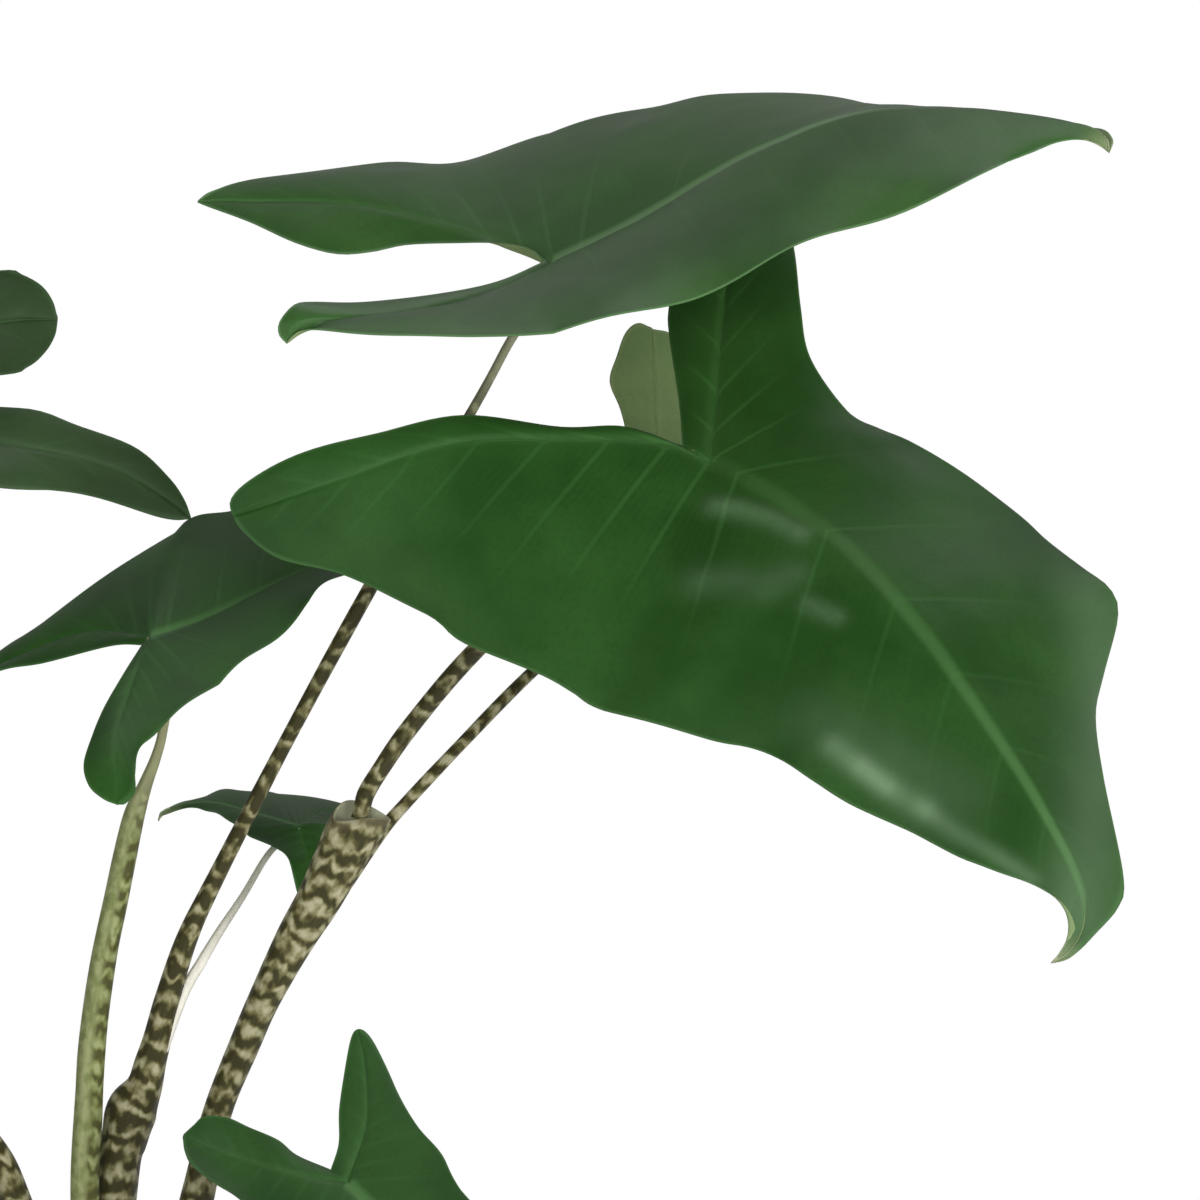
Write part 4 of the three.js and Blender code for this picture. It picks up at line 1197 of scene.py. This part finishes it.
def stalk_material(name, ground, light, brown, dark, neck, marked):
    """A living stalk, smooth and faintly waxed. It gives the eye a khaki ground under dark zigzag bands some
    millimetres apart, which break into blots on a wide sheath and fade below the blade. They go all round
    where marked is 1, show on one side only at 0.5, and are missing at 0."""
    material, tree, shader = new_material(name, 0.5)
    chart = (add(tree, "Attribute", attribute_name="stalk_chart"), "Vector")
    lip, inside, near_blade = (
        (add(tree, "Attribute", attribute_name=attribute), "Fac")
        for attribute in ("sheath_lip", "sheath_inside", "below_blade")
    )
    swing, spread, long = (
        add(tree, "VectorMath", {0: chart, 1: scale}, operation="MULTIPLY")
        for scale in (BAND_SWINGS, BAND_BREAKS, STREAKS)
    )
    zigzag = add(tree, "TexNoise", {"Vector": swing, "Scale": 1, "Detail": 1})
    breaks = add(tree, "TexNoise", {"Vector": spread, "Scale": 1, "Detail": 2})
    fine = add(tree, "TexNoise", {"Vector": chart, "Scale": 0.9, "Detail": 2})
    streaks = add(tree, "TexNoise", {"Vector": long, "Scale": 1, "Detail": 2})
    skin = add(tree, "ValToRGB", {"Fac": breaks}, stops=[(0.4, ground), (0.6, light)])
    if marked:
        turn = FULL_TURN / BAND_STEP
        way = add(tree, "SeparateXYZ", {0: chart})
        way = add(tree, "Math", {0: (way, "Z"), 1: turn}, operation="MULTIPLY")
        way = add(tree, "Math", {0: zigzag, 1: BAND_SWING * turn, 2: way}, operation="MULTIPLY_ADD")
        bands = add(tree, "Math", {0: way}, operation="SINE")
        value = add(tree, "Math", {0: bands, 1: 0.25, 2: -0.11}, operation="MULTIPLY_ADD")
        value = add(tree, "Math", {0: breaks, 1: 1.2, 2: value}, operation="MULTIPLY_ADD")
        value = add(tree, "Math", {0: fine, 1: 0.12, 2: value}, operation="MULTIPLY_ADD")
        flat = add(tree, "VectorMath", {0: chart, 1: (1, 1, 0)}, operation="MULTIPLY")
        reach = add(tree, "VectorMath", {0: flat}, operation="LENGTH")
        thin = add(tree, "MapRange", rise(reach, 2.5, 7, 0.06, -0.06), **SOFTLY)
        value = add(tree, "Math", {0: value, 1: thin}, operation="ADD")
        shift = (add(tree, "Attribute", attribute_name="mark_shift"), "Fac")
        value = add(tree, "Math", {0: value, 1: shift}, operation="ADD")
        shades = [(0.2, light), (0.43, ground), (0.56, brown), (0.74, dark)]
        banded = add(tree, "ValToRGB", {"Fac": value}, stops=shades)
        if marked < 1:
            side = (add(tree, "Attribute", attribute_name="facing_side"), "Fac")
            share = add(tree, "MapRange", rise(side, -0.2, 0.4), **SOFTLY)
            banded = add(tree, "Mix", {FACTOR: share, FIRST: skin, SECOND: banded}, **COLOURS)
        skin = banded
    layers = [
        (add(tree, "MapRange", rise(streaks, 0.45, 0.75, 0, 0.2), **SOFTLY), brown),
        (add(tree, "MapRange", rise(near_blade, 40, 75, 0.85, 0), **SOFTLY), neck),
        (add(tree, "MapRange", rise(lip, 0, 1, 0, 0.4)), "#6F6750"),
        # The sheath's inner wall: its own pale grey green, lifted further as painted light against the shade
        # inside the mouth.
        (add(tree, "MapRange", rise(inside, 0, 1, 0, 0.9)), "#A3A58C"),
    ]
    finish_material(tree, shader, skin, layers, streaks, 0.4, 0.3)
    return material


def rough_material(name, dark, light, grain, roughness, strength):
    """Dry matter in crumbs or fibres. It gives the eye two colours in grains of that size in millimetres, and
    no gloss."""
    material, tree, shader = new_material(name, roughness)
    place = (add(tree, "TexCoord"), "Object")
    patches = add(tree, "TexNoise", {"Vector": place, "Scale": 1 / (grain * MM), "Detail": 6})
    skin = add(tree, "ValToRGB", {"Fac": patches}, stops=[(0.38, dark), (0.64, light)])
    finish_material(tree, shader, skin, [], patches, strength, 0.8)
    return material


def clay_material():
    """Fired clay with a matte slip. It gives the eye a warm grey with fine specks and faint turning marks."""
    material, tree, shader = new_material("matte_slipped_clay", 0.65)
    place = (add(tree, "TexCoord"), "Object")
    clouds = add(tree, "TexNoise", {"Vector": place, "Scale": CLAY_CLOUDS, "Detail": 4})
    specks = add(tree, "TexVoronoi", {"Vector": place, "Scale": CLAY_SPECKS})
    rings = add(tree, "VectorMath", {0: place, 1: CLAY_TURNING}, operation="MULTIPLY")
    turning = add(tree, "TexNoise", {"Vector": rings, "Scale": 1, "Detail": 2})
    skin = add(tree, "ValToRGB", {"Fac": clouds}, stops=[(0.36, "#B8B3A8"), (0.64, "#C4C0B6")])
    layers = [(add(tree, "MapRange", rise(specks, 0.1, 0.22, 0.45, 0), **SOFTLY), "#7E786C")]
    height = add(tree, "Math", {0: specks, 1: 0.4, 2: turning}, operation="MULTIPLY_ADD")
    finish_material(tree, shader, skin, layers, height, 0.25, 0.5)
    return material


def floor_material():
    """Pale matte plaster. It gives the eye a plain, very slightly clouded ground."""
    material, tree, shader = new_material("pale_plaster", 0.8)
    place = (add(tree, "TexCoord"), "Object")
    clouds = add(tree, "TexNoise", {"Vector": place, "Scale": PLASTER_CLOUDS, "Detail": 4})
    skin = add(tree, "ValToRGB", {"Fac": clouds}, stops=[(0.3, "#EDEDEB"), (0.7, "#F1F1EF")])
    finish_material(tree, shader, skin, [], clouds, 0.1, 0.5)
    return material


# Most blades: a full green under a soft gloss.
UPPER = leaf_material("waxy_leaf_upper_side", "#1E4116", "#284D1E", "#1A3713", "#4A7B42", "#527B47")
# The top blade lies flat to the light: a copy of the finish with painted light, its colours painted paler and
# its midrib paler still.
LIT_PAINTED_UPPER = leaf_material(
    "leaf_upper_side_painted_lit", "#264C1A", "#325A24", "#223F18", "#5A8A50", "#73986A", roughness=0.44
)
# Blades in the others' shade: a copy of the finish with painted shade, its veins and rib painted darker, and
# duller, with hardly a highlight.
SHADED_UPPER = leaf_material(
    "dull_shaded_leaf_upper_side", "#1E4014", "#2A511E", "#1A3613", "#426E3B", "#4D7743", roughness=0.6
)
# The upper left blade: a copy of the finish painted a darker olive green as painted shade, with a little less
# gloss.
DARK_PAINTED_UPPER = leaf_material(
    "dull_leaf_upper_side_painted_dark", "#253A1C", "#2D4523", "#1F3218", "#4A6B44", "#4C6B43",
    bloom="#8FA888", roughness=0.46
)
# The undersides: a matte grey green with standing veins, and a painted highlight of grey green where the
# upper side has one.
UNDER = leaf_material(
    "matte_leaf_underside", "#5D7348", "#6D8153", "#516640", "#7B8E5F", "#8B9968",
    tip="#A9AE93", bloom="#7FA078", roughness=0.6, strength=0.6
)
# The stalks: khaki with dark bands all round, green with them on one side, or cream with none.
BANDED = stalk_material("zebra_banded_stalk", "#7C7856", "#A19D80", "#5A5634", "#343119", "#7E8068", 1)
HALF_BANDED = stalk_material(
    "pale_stalk_marked_on_one_side", "#727B4B", "#8F9467", "#666839", "#454622", "#8C8D6C", 0.5
)
PLAIN = stalk_material("plain_young_stalk", "#D6D3C6", "#E0DDD2", "#BAB5A4", "#BAB5A4", "#C6C5B6", 0)
# The soil: dark damp peat under browner bark and off-white grains.
PEAT = rough_material("moist_peat_soil", "#1F1711", "#43331F", 4, 0.95, 0.9)
BARK = rough_material("bark_and_peat_crumbs", "#2A1D13", "#584029", 3, 0.92, 0.8)
PERLITE = rough_material("perlite_grains", "#C9C6BC", "#E4E2DA", 2, 0.9, 0.6)
# The corm: light and dark brown fibres.
CORM_SKIN = rough_material("dry_fibrous_corm_skin", "#4A3722", "#7D6341", 8, 0.85, 0.9)
CLAY = clay_material()

# The plant

UPPER_SIDES = {"top": LIT_PAINTED_UPPER, "centre": SHADED_UPPER, "small": SHADED_UPPER, "upper_left": DARK_PAINTED_UPPER}
STALK_SKINS = {"centre": HALF_BANDED, "small": PLAIN}
for leaf_name, leaf in LEAVES.items():
    seat = blade(leaf_name, leaf, UPPER_SIDES.get(leaf_name, UPPER), UNDER)
    stalk(leaf_name, leaf, seat, STALK_SKINS.get(leaf_name, BANDED))
clay_pot(CLAY)
potting_soil(PEAT)
crumbs("soil_crumbs", 1500, (0.7, 2.4), BARK)
crumbs("perlite_crumbs", 70, (0.7, 1.6), PERLITE)
corm(CORM_SKIN)


# The stage: a pale floor, a white surround, and soft lamps in front, above and behind


def floor():
    """A wide round of plaster under the pot."""
    ground = start(
        bpy.ops.mesh.primitive_circle_add, vertices=128, radius=FLOOR_RADIUS * MM, fill_type="NGON"
    )
    ground.name = "floor"
    ground.data.materials.append(floor_material())


def soft_light(name, place, size, power, glossy=True):
    """A large square lamp that faces the middle of the plant. One through crossed filters gives no gloss."""
    lamp = bpy.data.lights.new(name, "AREA")
    lamp.size = size
    lamp.energy = power
    holder = bpy.data.objects.new(name, lamp)
    bpy.context.scene.collection.objects.link(holder)
    holder.location = place
    holder.visible_glossy = glossy
    holder.rotation_euler = (Vector(PLANT_MIDDLE) - Vector(place)).to_track_quat("-Z", "Y").to_euler()


def surround():
    """White paper all round, which lights the plant most from behind and from below."""
    world = bpy.data.worlds.new("white_surround")
    bpy.context.scene.world = world
    world.use_nodes = True
    tree = world.node_tree
    tree.nodes.clear()
    white = (1, 1, 1, 1)
    way = add(tree, "SeparateXYZ", {0: (add(tree, "TexCoord"), "Generated")})
    behind = add(tree, "MapRange", rise((way, "Y"), -0.2, 0.75, 0.05, 0.4), **SOFTLY)
    below = add(tree, "MapRange", rise((way, "Z"), -0.5, 0.2, 0.4, 0), **SOFTLY)
    glow = add(tree, "Math", {0: behind, 1: below}, operation="ADD")
    lit = add(tree, "Background", {"Color": white, "Strength": glow})
    shown = add(tree, "Background", {"Color": white, "Strength": 1})
    seen = (add(tree, "LightPath"), "Is Camera Ray")
    both = add(tree, "MixShader", {0: seen, 1: lit, 2: shown})
    add(tree, "OutputWorld", {"Surface": both})


def camera():
    """The photo's view."""
    tilt = math.radians(VIEW_TILT)
    lens = bpy.data.cameras.new("view")
    lens.lens = LENS
    lens.sensor_width = SENSOR
    lens.clip_end = 50
    holder = bpy.data.objects.new("view", lens)
    bpy.context.scene.collection.objects.link(holder)
    away = Vector((0, -math.cos(tilt), math.sin(tilt))) * VIEW_DISTANCE
    holder.location = (Vector(VIEW_TARGET) + away) * MM
    holder.rotation_euler = (math.pi / 2 - tilt, 0, 0)
    bpy.context.scene.camera = holder


floor()
surround()
soft_light("key", (-0.7, -2.8, 1.0), 1.8, 52, glossy=False)
soft_light("fill", (1.9, -2.0, 0.5), 1.6, 63, glossy=False)
soft_light("top", (0.6, 0.5, 2.4), 1.4, 8.5)
soft_light("back", (-0.6, 2.7, 1.0), 1.8, 40, glossy=False)
camera()
bpy.context.scene.view_settings.view_transform = "Standard"
